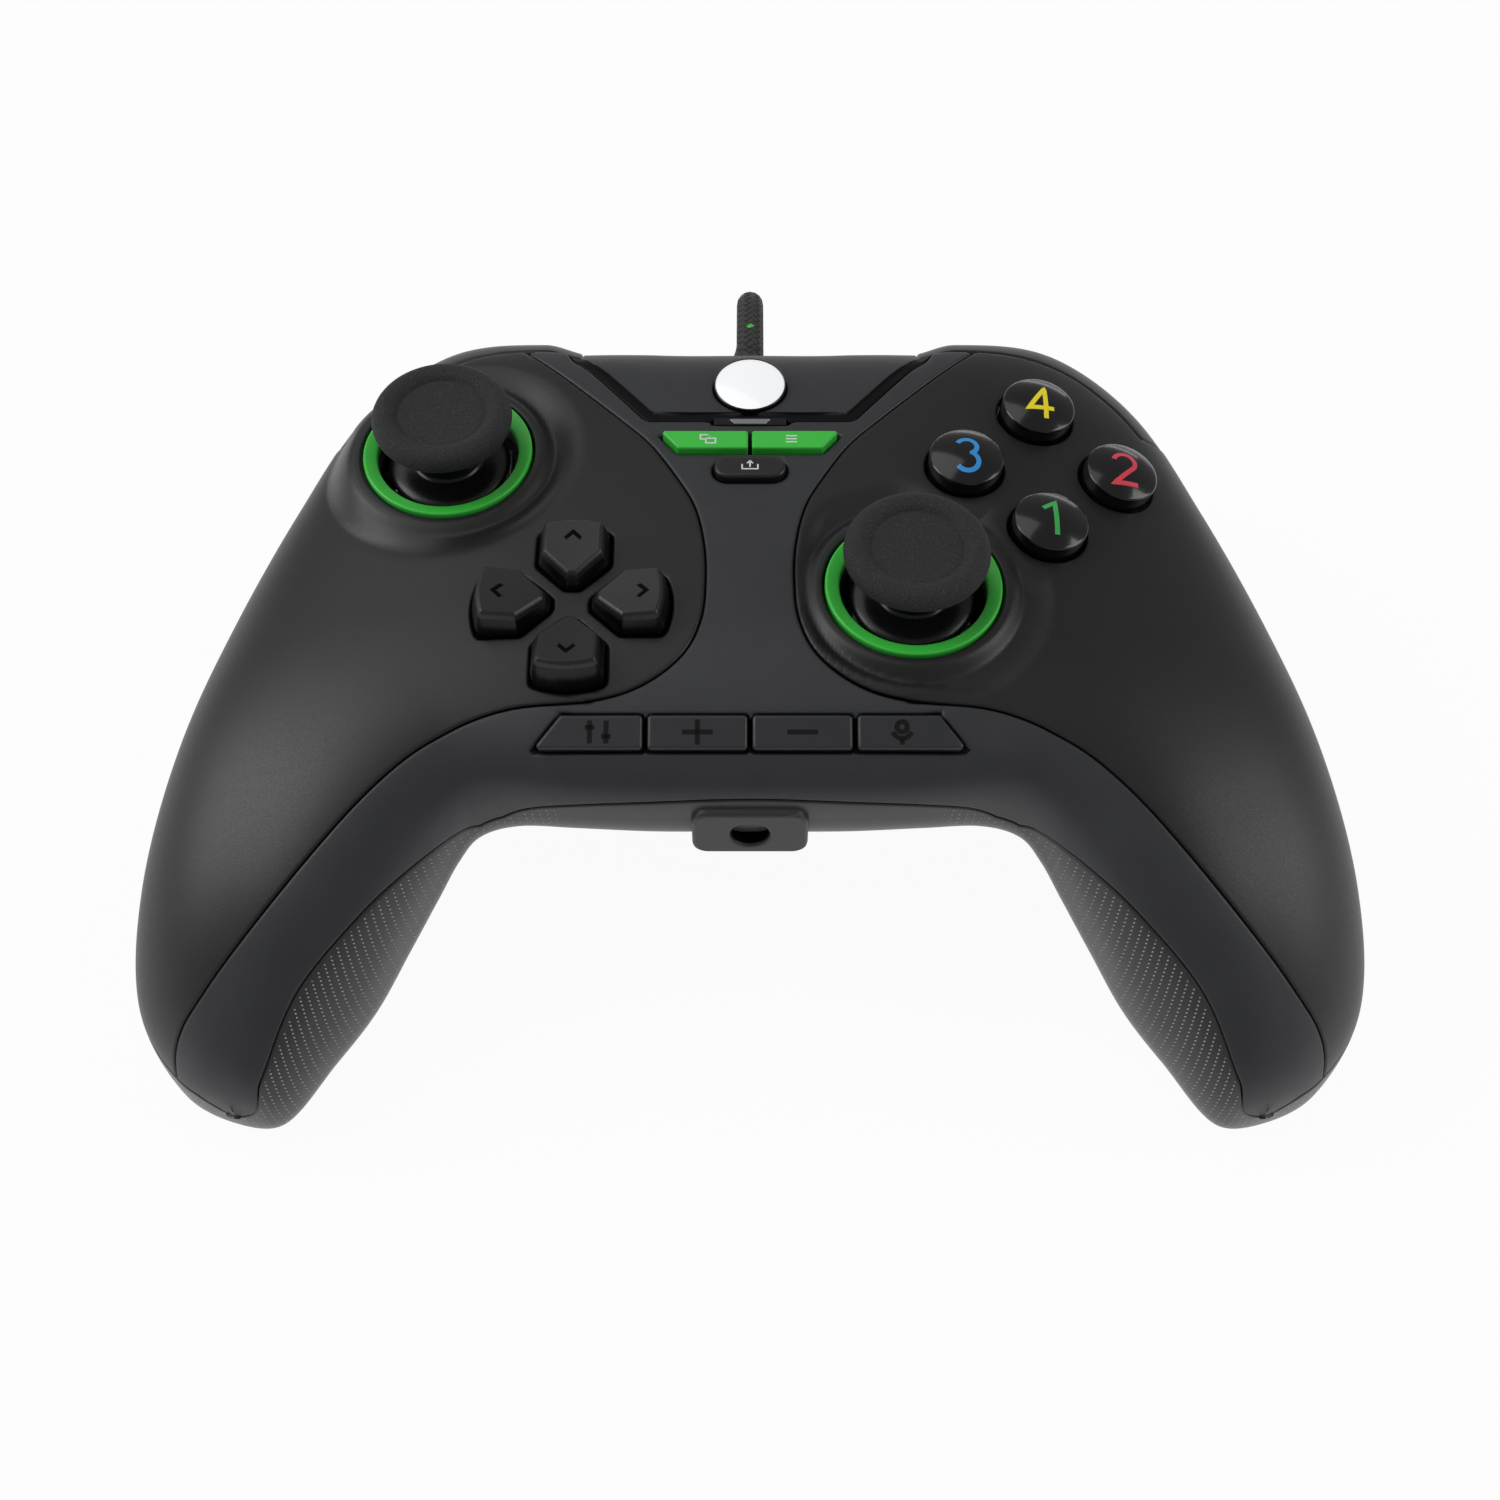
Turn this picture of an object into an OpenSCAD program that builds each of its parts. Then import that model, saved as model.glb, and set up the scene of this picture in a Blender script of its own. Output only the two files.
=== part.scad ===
// Wired gamepad: two thumbsticks, a four-key direction pad, four round face buttons,
// bumpers, triggers and a braided cable wound up behind it. All sizes in millimetres.
// The pad is drawn in its own frame (u right, v to the rear, w out of the face) and is
// then tilted and lifted so that it stands on its grips and trigger tips.

/* [Body] */
// Overall width across the grips
grip_span = 159; // [154:1:166]
// Depth of the belly below the face
belly_depth = 24; // [23:0.5:26]
// How far the grip ends bend below the face
grip_bend = 16.6; // [13:0.2:18]
// How far the sides of the face fall away
side_crown = 13.9; // [11:0.2:15]
// Wall of the shells
wall = 2; // [1.6:0.1:2.2]
// Gap between neighbouring mouldings
seam_gap = 0.3; // [0.2:0.05:0.4]
// Tilt of the face towards the player as the pad stands
rest_tilt = 2; // [1:0.5:3]

/* [Sticks] */
// Place of the left stick, to the left of the middle
left_stick_u = -40.9; // [-42:0.1:-40]
// Place of the left stick, towards the rear
left_stick_v = 12.7; // [11:0.1:14]
// Place of the right stick, to the right of the middle
right_stick_u = 21; // [20:0.1:22]
// Place of the right stick, towards the rear
right_stick_v = -11.4; // [-13:0.1:-10]
// Outer radius of the coloured ring
ring_r = 11.4; // [11:0.1:12]
// Inner radius of the coloured ring
ring_bore_r = 9.5; // [9.4:0.1:9.8]
// Radius of the rubber stick cap
cap_r = 9.3; // [8:0.1:9.6]
// Height of the cap's rim above the face
cap_height = 8.6; // [8:0.1:10]
// Thickness of the cap's rim
cap_thick = 3.8; // [3:0.1:4.2]
// Radius of the ball-shaped dome under the cap
dome_r = 9.9; // [9:0.1:10]
// Depth of the gimbal's centre below the face
pivot_depth = 7.5; // [7:0.1:8]
// Greatest tilt of a stick
stick_tilt = 17; // [12:1:18]
// Travel of the stick's click
stick_click = 0.5; // [0.3:0.1:0.6]

/* [Face buttons] */
// Centre of the four face buttons, to the right of the middle
face_u = 39.2; // [38.5:0.1:40.5]
// Centre of the four face buttons, towards the rear
face_v = 9.3; // [8:0.1:10]
// Distance of each face button from that centre
face_pitch = 10.4; // [10:0.1:11.2]
// Radius of a face button
face_r = 5; // [4.6:0.1:5.3]
// Height of a face button above the face
face_height = 3.2; // [3:0.1:4.2]
// Travel of a face button
face_travel = 1.5; // [1:0.1:1.7]
// Running gap round every key
key_gap = 0.35; // [0.25:0.05:0.45]

/* [Direction pad] */
// Centre of the direction pad, to the left of the middle
dpad_u = -22.8; // [-24:0.1:-22]
// Centre of the direction pad, towards the rear
dpad_v = -14.5; // [-16:0.1:-14]
// Distance from the centre to a key's outer edge
dpad_reach = 12.6; // [11.5:0.1:12.6]
// Half width of a key
dpad_half = 4.6; // [4:0.1:4.8]
// Height of a key above the face
dpad_height = 3; // [2.4:0.1:3.4]
// Travel of a key
dpad_travel = 1.2; // [0.8:0.1:1.4]

/* [Small keys] */
// Radius of the round key in the middle
guide_r = 5; // [4.6:0.1:5.4]
// Place of the round key, towards the rear
guide_v = 24.9; // [24.2:0.1:25.6]
// Height of the two coloured keys above the face
pair_height = 1.1; // [0.8:0.1:1.5]
// Length of the pill-shaped key
share_len = 9.6; // [8:0.1:11]
// Width of the pill-shaped key
share_w = 3.7; // [3.6:0.1:4.4]
// Travel of the small keys
small_travel = 0.6; // [0.4:0.1:0.7]
// Half length of the row of function keys
row_half = 26.4; // [25:0.2:27]
// Depth of the row of function keys
row_depth = 4.4; // [3.8:0.1:4.8]

/* [Triggers and bumpers] */
// Inner side of a trigger, from the middle
trigger_in = 34; // [33.5:0.1:35]
// Width of a trigger
trigger_w = 20; // [18:0.5:20.5]
// Pull of a trigger in degrees
trigger_pull = 18; // [12:1:20]
// Radius of a trigger's hinge pin
pin_r = 1; // [0.8:0.1:1.2]
// Running clearance of a pin in its hole
pin_play = 0.05; // [0.03:0.01:0.1]
// Swing of a bumper in degrees
bumper_swing = 2; // [1:0.5:2.5]
// Height of a bumper
bumper_h = 12; // [11:0.5:12.5]

/* [Inside] */
// Depth of the circuit board's top below the face
board_top = 13; // [12.8:0.1:13.2]
// Thickness of the circuit board
board_t = 1.6; // [1:0.1:1.8]
// Radius of a rumble motor
motor_r = 6.5; // [5:0.1:7]
// Length of a rumble motor
motor_len = 13; // [10:0.5:14]
// Radius of the headset plug's bore
jack_r = 1.75; // [1.75:0.05:1.85]

/* [Cable] */
// Diameter of the braided cable
cable_d = 4; // [3.6:0.1:4]
// Outermost radius at the middle of the coil's turns
coil_r = 30.6; // [29.6:0.1:30.8]
// Turns in each of the coil's four layers
coil_turns = 4.25; // [3.25:1:4.25]
// Room between neighbouring turns
coil_gap = 0.45; // [0.42:0.01:0.5]
// Width of the cable tie
tie_w = 8; // [5:0.5:10]

/* [Hidden] */

// Colours, as the pieces look
black = [0.12, 0.12, 0.125];
slate = [0.2, 0.205, 0.22];
deep = [0.05, 0.05, 0.055];
green = [0.2, 0.68, 0.25];
steel = [0.72, 0.73, 0.75];

$fn = 48;
// Sections on each half of the body, and steps over the upper and lower halves
half_sections = 20;
upper_steps = 11;
lower_steps = 11;
// The last section stops just short of the tip
tip_end = 0.995;
// Share of the length by which an inset surface stops short of the tip, per mm of inset
tip_pull = 0.03;

// The body's sections from the middle to the tip of the right grip. Each row gives the rear
// or outer edge, the front or inner edge, the heights of both, the crest and the keel.
stations = [
    [0, 35, 0, -39, -9, -9, 0, -24],
    [15, 35.2, 12, -39, -9, -9, 0, -24],
    [30, 37.6, 22, -38.6, -9, -9, 0, -24],
    [43.5, 36.6, 29.5, -37.8, -9, -10, 0, -24.5],
    [55, 27, 34.5, -38, -9, -12, 0, -25.5],
    [63, 11, 37.3, -40, -9, -14, 0, -27],
    [70, -6.5, 40, -43.5, -9, -16, 0, -29],
    [75.8, -25, 43.5, -49, -9, -17, 0, -30],
    [79.3, -42, 47.5, -55.5, -10, -17, -0.5, -30],
    [79, -55, 52.5, -61.5, -11, -16, -2.5, -27.5],
    [73, -64.3, 59, -68.4, -12, -14, -6, -23],
    [65.5, -68.5, 65.5, -68.5, -12, -12, -12, -12]];
// Widest place of the sections as drawn: the curve bulges a little past its widest row
drawn_half = max([for (s = stations) s[0]]) + 0.2;
drawn_depth = 24;
span_k = grip_span / (2 * drawn_half);
// The face stays level this far out and this far forward
level_u = 24;
level_v = -14;
crown_k = side_crown / pow(drawn_half - level_u, 2);
bend_k = grip_bend / pow(-68.5 - level_v, 2);

function lerp(a, b, f) = a + (b - a) * f;
function clamp01(x) = min(1, max(0, x));
function ramp(a, b, x) = let(k = clamp01((x - a) / (b - a))) k * k * (3 - 2 * k);
function catmull(a, b, c, d, f) =
    0.5 * (2 * b + (c - a) * f + (2 * a - 5 * b + 4 * c - d) * f * f
           + (3 * b - a - 3 * c + d) * f * f * f);
function flipped(s) = [-s[0], s[1], -s[2], s[3], s[4], s[5], s[6], s[7]];
// In the last span crest and keel close like a ball, not like a wedge
function blunt(f) = pow(1 - f, -0.5 * ramp(0, 1, f));
function station(t) =
    let(n = len(stations) - 1,
        x = min(abs(t), 0.9999) * n,
        i = floor(x),
        before = i > 0 ? stations[i - 1] : flipped(stations[1]),
        after = i < n - 1 ? stations[i + 2] : 2 * stations[n] - stations[n - 1],
        s = catmull(before, stations[i], stations[i + 1], after, x - i),
        k = i == n - 1 ? blunt(x - i) : 1,
        tip = stations[n][6])
    [s[0], s[1], s[2], s[3], s[4], s[5], tip + (s[6] - tip) * k, tip + (s[7] - tip) * k];
function crown(u) = crown_k * pow(max(0, abs(u) - level_u), 2);
function bend(u, v) = crown(u) + bend_k * pow(max(0, level_v - v), 2);
// The underside follows only this share of the crown
under_share = 0.55;

// A point of the skin: t runs from grip to grip, a goes round the section from the front
// edge over the top, and inset moves the point inwards.
function skin(t, a, inset = 0) =
    let(s = station(t * (1 - inset * tip_pull)),
        rear = [s[0] * span_k, s[1]],
        front = [s[2] * span_k, s[3]],
        along = (rear - front) / norm(rear - front),
        o = rear - along * inset,
        i = front + along * inset,
        round_k = clamp01((abs(t) - 0.35) / 0.45),
        upper = sin(a) >= 0,
        power = upper ? lerp(4.2, 2.3, round_k) : lerp(2.35, 2.2, round_k),
        side = -sign(cos(a)) * pow(abs(cos(a)), 2 / power),
        rise = pow(abs(sin(a)), 2 / power),
        across = (1 + side) / 2,
        p = lerp(i, o, across),
        keel = s[7] - (belly_depth - drawn_depth) * (1 - ramp(0.5, 1, abs(t))),
        edge = lerp(s[5], s[4], across),
        w = lerp(edge, upper ? s[6] - inset : keel + inset, rise),
        lifted = upper ? 0 : (1 - under_share) * rise * crown(p[0]))
    [sign(t) * p[0], p[1], w - bend(p[0], p[1]) + lifted];

// The parting line between the upper shells and the rear shell, as angles round the section
function inner_seam(t) = 52 * ramp(0.36, 0.86, abs(t)) * (1 - ramp(0.9, 1, abs(t)));
function outer_seam(t) = 180 - 34 * ramp(0.8, 1, abs(t));
// The rear shell stops this angle short of the parting line
function seam_room(t) =
    0.5 + 0.7 * ramp(0.36, 0.6, abs(t)) + 1.2 * ramp(0.6, 0.75, abs(t)) + 4.5 * ramp(0.84, 0.94, abs(t));

section_ts = [for (i = [-half_sections:half_sections]) tip_end * i / half_sections + 0.000001];
function sheet_rows(lower, inset) =
    [for (t = section_ts)
        let(a0 = lower ? outer_seam(t) + seam_room(t) : inner_seam(t),
            a1 = lower ? 360 + inner_seam(t) - seam_room(t) : outer_seam(t),
            n = lower ? lower_steps : upper_steps)
        [for (j = [0:n]) skin(t, lerp(a0, a1, j / n), inset)]];

function flat_list(rows) = [for (row = rows) each row];

// A wall between two grids of points, closed along its four borders
module thick_sheet(outer, inner) {
    rows = len(outer);
    cols = len(outer[0]);
    in0 = rows * cols;
    function id(i, j) = i * cols + j;
    quads = [for (i = [0:rows - 2], j = [0:cols - 2])
        [id(i, j), id(i, j + 1), id(i + 1, j + 1), id(i + 1, j)]];
    rim = concat(
        [for (i = [0:rows - 2]) [id(i, 0), id(i + 1, 0)]],
        [for (j = [0:cols - 2]) [id(0, j + 1), id(0, j)]],
        [for (j = [0:cols - 2]) [id(rows - 1, j), id(rows - 1, j + 1)]]);
    far_rim = [for (i = [0:rows - 2]) [id(i + 1, cols - 1), id(i, cols - 1)]];
    faces = concat(
        [for (q = quads) [q[0], q[1], q[2]]],
        [for (q = quads) [q[0], q[2], q[3]]],
        [for (e = far_rim) [e[0], e[1], in0 + e[0]]],
        [for (e = far_rim) [e[1], in0 + e[1], in0 + e[0]]],
        [for (q = quads) [in0 + q[2], in0 + q[1], in0 + q[0]]],
        [for (q = quads) [in0 + q[3], in0 + q[2], in0 + q[0]]],
        [for (e = rim) [e[0], e[1], in0 + e[1]]],
        [for (e = rim) [e[0], in0 + e[1], in0 + e[0]]]);
    polyhedron(points = concat(flat_list(outer), flat_list(inner)), faces = faces);
}

// A closed tube of points rings, with flat ends
module ring_solid(rings) {
    n = len(rings[0]);
    last = (len(rings) - 1) * n;
    sides = [for (i = [0:len(rings) - 2], j = [0:n - 1])
        let(k = (j + 1) % n) [i * n + j, i * n + k, (i + 1) * n + k, (i + 1) * n + j]];
    faces = concat(
        [for (q = sides) [q[0], q[2], q[1]]],
        [for (q = sides) [q[0], q[3], q[2]]],
        [for (j = [1:n - 2]) [0, j, j + 1]],
        [for (j = [1:n - 2]) [last, last + j + 1, last + j]]);
    polyhedron(points = flat_list(rings), faces = faces);
}

module upper_sheet() { thick_sheet(sheet_rows(false, 0), sheet_rows(false, wall)); }
module lower_sheet() { thick_sheet(sheet_rows(true, 0), sheet_rows(true, wall)); }
body_ring_step = 12;
module body_solid(inset) {
    ring_solid([for (t = section_ts)
        [for (a = [360 - body_ring_step:-body_ring_step:0]) skin(t, a, inset)]]);
}

// One moulding with freeform faces
module moulding() { resize([0, 0, 0]) children(); }
// A plan outline carried through the body between two heights
module plan(low, high) { translate([0, 0, low]) linear_extrude(high - low) children(); }
module sided(side) { mirror([side < 0 ? 1 : 0, 0, 0]) children(); }
far_up = 30;
far_down = -70;

// How the pad stands: lifted until the lowest grip section meets the table
trigger_bulge_v = 43;
trigger_bulge_w = -23;
lowest_rows = [for (t = section_ts) [for (a = [180:7.5:360]) skin(t, a)]];
function stand_z(p) = p[1] * sin(rest_tilt) + p[2] * cos(rest_tilt);
function stand_y(p) = p[1] * cos(rest_tilt) - p[2] * sin(rest_tilt);
pad_z = -min([for (p = flat_list(lowest_rows)) stand_z(p)]);
front_y = min([for (p = flat_list(lowest_rows)) stand_y(p)]);
rear_y = stand_y([trigger_in, trigger_bulge_v, trigger_bulge_w]);
pad_y = -(front_y + rear_y) / 2;
module pad() { translate([0, pad_y, pad_z]) rotate([rest_tilt, 0, 0]) children(); }

// Plan outlines of the seams
seam_pts = [[40.4, 42], [17.8, 18.3], [13.4, 13.4], [9.4, 6.8], [7.2, 2], [6, -4], [5.7, -10], [6.2, -16.5],
    [8.5, -22], [13.5, -26.3], [20, -28.4], [30.4, -29.3], [38.5, -32.1], [46, -37.4],
    [58.4, -49.9], [67.6, -57.9], [71.4, -61], [73, -63.5], [74, -68]];
function curve(pts, n) =
    [for (i = [0:len(pts) - 2], j = [0:n - 1])
        let(a = pts[max(0, i - 1)], d = pts[min(len(pts) - 1, i + 2)])
        i == 0 ? lerp(pts[0], pts[1], j / n) : catmull(a, pts[i], pts[i + 1], d, j / n)];
curve_steps = 3;
panel_far = 100;
module panel_region() {
    polygon(concat(curve(seam_pts, curve_steps), [[74, -90], [panel_far, -90], [panel_far, 42]]));
}
guide_front = 17.9;
guide_half = 14.2;
guide_slope = 0.79;
guide_rear_v = 42;
module guide_region() {
    reach = guide_half + (guide_rear_v - guide_front) * guide_slope;
    polygon([[-guide_half, guide_front], [guide_half, guide_front],
             [reach, guide_rear_v], [-reach, guide_rear_v]]);
}
bumper_inner = 23.6;
bumper_pts = [[bumper_inner, 32.4], [30, 33], [38, 32.4], [45, 29.6], [50.5, 24.7], [54.5, 19.2]];
module bumper_region() {
    scale([span_k, 1]) polygon(concat(bumper_pts, [[68, 22], [68, 46], [bumper_inner, 46]]));
}

// Sticks: [side name index] gives place and face height
left_stick = [left_stick_u, left_stick_v, -1];
right_stick = [right_stick_u, right_stick_v, 0];
ring_seat = 3.2;
ring_below = 2;
ring_top = 0.5;
ring_dip = 0.6;
collar_w = 1.5;
// The foot of a ring is a snug fit between the flat sides of its hole
panel_facets = 32;
foot_r = (ring_r + seam_gap) * cos(180 / panel_facets);
foot_top = -1.6;
module stick_well(at) {
    translate(at) translate([0, 0, -ring_seat])
        cylinder(r = ring_r + seam_gap + collar_w, h = ring_seat + ring_top);
}
module stick_hole(at) {
    translate(at) translate([0, 0, -ring_seat - ring_below - wall])
        cylinder(r = ring_r + seam_gap, h = far_up);
}

// Keys that stand on the face: their frame leans with the face's own slope
function lean(u) = atan(2 * crown_k * max(0, abs(u) - level_u) * sign(u));
face_places = [[0, 1], [-1, 0], [0, -1], [1, 0]];
function face_at(k) = [face_u, face_v] + face_pitch * face_places[k];
module at_face(p) {
    translate([p[0], p[1], -bend(p[0], p[1])]) rotate([0, lean(p[0]), 0]) children();
}
well_depth = 4.6;
well_wall = 1.5;
flange_t = 1;
flange_w = 1;

// The direction pad's key outline, pointing to the rear, with a bowed outer edge
dpad_shoulder = 6.4;
dpad_nose = 2.6;
dpad_nose_half = 0.9;
dpad_bow = 0.9;
module dpad_outline(grow) {
    offset(delta = grow) polygon(concat(
        [[dpad_nose_half, dpad_nose], [dpad_half, dpad_shoulder]],
        [for (x = [1:-0.25:-1]) [dpad_half * x, dpad_reach - dpad_bow * x * x]],
        [[-dpad_half, dpad_shoulder], [-dpad_nose_half, dpad_nose]]));
}
module dpad_holes() {
    for (k = [0:3]) translate([dpad_u, dpad_v]) rotate(90 * k) dpad_outline(key_gap);
}
dpad_plate = 4.6;
dpad_lip = 0.75;

// Small keys in the middle
pair_rear = 15.2;
pair_front = 12;
pair_out = 12.2;
pair_slant = 2.5;
pair_split = 0.4;
module pair_outline(grow) {
    polygon([[pair_split - grow, pair_front - grow], [pair_out - pair_slant + grow, pair_front - grow],
             [pair_out + 1.5 * grow, pair_rear + grow], [pair_split - grow, pair_rear + grow]]);
}
share_v = 8.6;
module share_outline(grow) {
    for (s = [-1, 1]) translate([s * (share_len - share_w) / 2, share_v]) circle(r = share_w / 2 + grow);
    translate([-(share_len - share_w) / 2, share_v - share_w / 2 - grow])
        square([share_len - share_w, share_w + 2 * grow]);
}
// The row of function keys lies on the sloping front of the face
row_v = -32.4;
row_w = -3.1;
row_slope = 23;
row_split = 0.3;
row_inner = 13;
row_slant = 3.2;
module at_row() { translate([0, row_v, row_w]) rotate([row_slope, 0, 0]) children(); }
module row_key(k, lip = 0) {
    sided(k < 2 ? -1 : 1) {
        b = row_depth / 2;
        if (k == 1 || k == 2) {
            polygon([[row_split, -b - lip], [row_inner - row_split, -b - lip],
                     [row_inner - row_split, b], [row_split, b]]);
        } else {
            polygon([[row_inner + row_split, -b - lip], [row_half, -b - lip],
                     [row_half - row_slant, b], [row_inner + row_split, b]]);
        }
    }
}
row_flange = 4;
row_lip = 0.9;

// Bumper and trigger openings in the shells
bumper_room = 1.8;
bumper_floor = -bumper_h - bumper_room;
trigger_top = -15.2;
pin_v = 24;
pin_w = -18.2;
hub_r = 2.6;
pocket_v = 20.7;
pocket_gap = 0.5;
// The hinge is narrower than the blade
hinge_short = 3.5;
hinge_w = trigger_w - hinge_short;
cheek_t = 2;
module bumper_cut(low) { plan(low, far_up) bumper_region(); }
module trigger_pocket() {
    translate([trigger_in - pocket_gap, pocket_v, far_down])
        cube([hinge_w + 2 * pocket_gap, 40, -far_down + bumper_floor]);
}

module face_panel(side) {
    at = side < 0 ? left_stick : right_stick;
    $fn = panel_facets;
    moulding() difference() {
        intersection() {
            plan(far_down, far_up) offset(delta = -seam_gap / 2) sided(side) panel_region();
            union() {
                upper_sheet();
                stick_well(at);
                intersection() {
                    body_solid(wall / 3);
                    if (side < 0) {
                        translate([dpad_u, dpad_v, -dpad_plate])
                            cylinder(r = dpad_reach + 1.4, h = dpad_plate + 1);
                    } else {
                        for (k = [0:3]) at_face(face_at(k)) translate([0, 0, -well_depth])
                            cylinder(r = face_r + key_gap + well_wall, h = well_depth + 2);
                    }
                }
            }
        }
        stick_hole(at);
        sided(side) bumper_cut(far_down);
        if (side < 0) {
            plan(-20, far_up) dpad_holes();
        } else {
            for (k = [0:3]) at_face(face_at(k)) translate([0, 0, -2 * well_depth])
                cylinder(r = face_r + key_gap, h = far_up);
        }
    }
}
module left_face_panel() { color(black) pad() face_panel(-1); }
module right_face_panel() { color(black) pad() face_panel(1); }

guide_well = 4.4;
guide_lip = 0.8;
lens_half = 5;
lens_v0 = 17.2;
lens_v1 = 18.5;
module lens_slot(grow) {
    translate([-lens_half - grow, lens_v0 - grow]) square([2 * (lens_half + grow), lens_v1 - lens_v0 + 2 * grow]);
}
module center_frame() {
    color(slate) pad() moulding() difference() {
        intersection() {
            upper_sheet();
            plan(far_down, far_up) offset(delta = -seam_gap / 2) difference() {
                square([300, 300], center = true);
                for (side = [-1, 1]) sided(side) panel_region();
                guide_region();
            }
        }
        for (side = [-1, 1]) sided(side) bumper_cut(far_down);
        for (side = [-1, 1]) sided(side) plan(-20, far_up) offset(delta = key_gap) pair_outline(0);
        plan(-20, far_up) share_outline(key_gap);
        plan(-20, far_up) lens_slot(seam_gap / 2);
        at_row() for (k = [0:3]) translate([0, 0, -wall - 3]) linear_extrude(far_up)
            offset(delta = key_gap) row_key(k);
        along_v(tab_front - 5, tab_back + 5) offset(delta = seam_gap) tab_outline();
        jack_space(seam_gap);
        relief_hole();
    }
}
module guide_panel() {
    color(slate) pad() moulding() difference() {
        union() {
            intersection() {
                upper_sheet();
                plan(far_down, far_up) offset(delta = -seam_gap / 2) guide_region();
            }
            intersection() {
                body_solid(wall / 3);
                translate([0, guide_v, -guide_well]) cylinder(r = guide_r + key_gap + well_wall, h = guide_well + 2);
            }
        }
        for (side = [-1, 1]) sided(side) bumper_cut(far_down);
        translate([0, guide_v, -20]) cylinder(r = guide_r + key_gap, h = 20 + far_up);
        plan(-20, far_up) lens_slot(seam_gap / 2);
        relief_hole();
    }
}
lens_t = 1.8;
module indicator_lens() {
    color([0.6, 0.61, 0.63]) pad() translate([0, 0, -lens_t - 0.3]) linear_extrude(lens_t) lens_slot(0);
}

// Rear shell with its posts, motor cradles, headset tab and trigger cheeks
post_places = [[24, 16], [-24, 16], [25.5, -29], [-25.5, -29]];
post_r = 4;
screw_seat = -19;
head_r = 2.3;
head_h = 1.8;
shank_r = 1.1;
tab_half = 7.35;
tab_front = -40;
tab_top = -10;
tab_bottom = -18.9;
tab_back = -36.4;
tab_round = 2;
jack_w = -14.6;
jack_front = -37.6;
jack_len = 14;
jack_half = 4.5;
jack_tall = 6.4;
motor_u = 60;
motor_v = -35;
motor_w = -25;
cradle_half = 5;
module motor_axis(side) {
    translate([side * motor_u * span_k, motor_v, motor_w]) rotate([90, 0, 0]) children();
}
module tab_outline() {
    for (s = [-1, 1]) translate([s * (tab_half - tab_round), tab_bottom + tab_round]) circle(r = tab_round);
    translate([-tab_half, tab_bottom + tab_round]) square([2 * tab_half, tab_top - tab_bottom - tab_round]);
    translate([-tab_half + tab_round, tab_bottom]) square([2 * (tab_half - tab_round), tab_round]);
}
module along_v(v0, v1) { translate([0, v1, 0]) rotate([90, 0, 0]) linear_extrude(v1 - v0) children(); }
module along_u(u0, u1) { translate([u0, 0, 0]) rotate([90, 0, 90]) linear_extrude(u1 - u0) children(); }
module jack_space(grow) {
    translate([-jack_half - grow, jack_front - grow, jack_w - jack_tall / 2 - grow])
        cube([2 * (jack_half + grow), jack_len + 2 * grow, jack_tall + 2 * grow]);
}
relief_w = -12;
relief_hole_r = 3.9;
module relief_hole() {
    translate([0, 20, relief_w]) rotate([-90, 0, 0]) cylinder(r = relief_hole_r, h = 30);
}
back_pts = [[31.5, -33], [36, -35.5], [41.5, -41], [44.5, -38], [41, -29], [36, -24], [31, -25]];
back_top = -16;
back_proud = 1.2;
module back_region() { polygon(curve_closed(back_pts, 3)); }
function curve_closed(pts, n) =
    let(m = len(pts))
    [for (i = [0:m - 1], j = [0:n - 1])
        catmull(pts[(i + m - 1) % m], pts[i], pts[(i + 1) % m], pts[(i + 2) % m], j / n)];
module rear_shell() {
    $fn = 16;
    color([0.17, 0.17, 0.18]) pad() moulding() difference() {
        union() {
            difference() {
                lower_sheet();
                for (side = [-1, 1]) sided(side) {
                    bumper_cut(bumper_floor);
                    trigger_pocket();
                    plan(far_down, back_top) offset(delta = seam_gap) back_region();
                }
            }
            along_v(tab_front, tab_back) tab_outline();
            intersection() {
                body_solid(wall / 3);
                union() {
                    for (p = post_places) translate([p[0], p[1], far_down])
                        cylinder(r = post_r, h = -far_down - board_top - board_t);
                    translate([-jack_half + 0.5, jack_front + 2, far_down])
                        cube([2 * jack_half - 1, jack_len - 4, jack_w - jack_tall / 2 - 0.3 - far_down]);
                    for (side = [-1, 1]) {
                        translate([side * motor_u * span_k - cradle_half, motor_v - motor_len + 2, far_down])
                            cube([2 * cradle_half, motor_len - 4, motor_w - far_down]);
                        sided(side) for (u = [trigger_in - pocket_gap - cheek_t, trigger_in + hinge_w + pocket_gap])
                            translate([u, pin_v - 3, far_down]) cube([cheek_t, 8, pin_w + 3.3 - far_down]);
                    }
                }
            }
        }
        for (p = post_places) translate([p[0], p[1], far_down]) {
            cylinder(r = head_r + 0.3, h = screw_seat - far_down);
            cylinder(r = shank_r + 0.2, h = 100);
        }
        for (side = [-1, 1]) {
            motor_axis(side) translate([0, 0, -1]) cylinder(r = motor_r + seam_gap, h = motor_len + 10);
            sided(side) along_u(trigger_in - 6, trigger_in + hinge_w + 3) translate([pin_v, pin_w])
                circle(r = pin_r + 0.15);
        }
        jack_space(0.3);
        translate([0, tab_front - 1, jack_w]) rotate([-90, 0, 0]) cylinder(r = jack_r + 0.9, h = 6);
        relief_hole();
    }
}
bumper_gap = 0.55;
module bumper(side) {
    color(deep) pad() moulding() intersection() {
        body_solid(0.15);
        plan(-bumper_h, far_up) offset(delta = -bumper_gap) sided(side) bumper_region();
    }
}
module bumper_left() { bumper(-1); }
module bumper_right() { bumper(1); }

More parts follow.
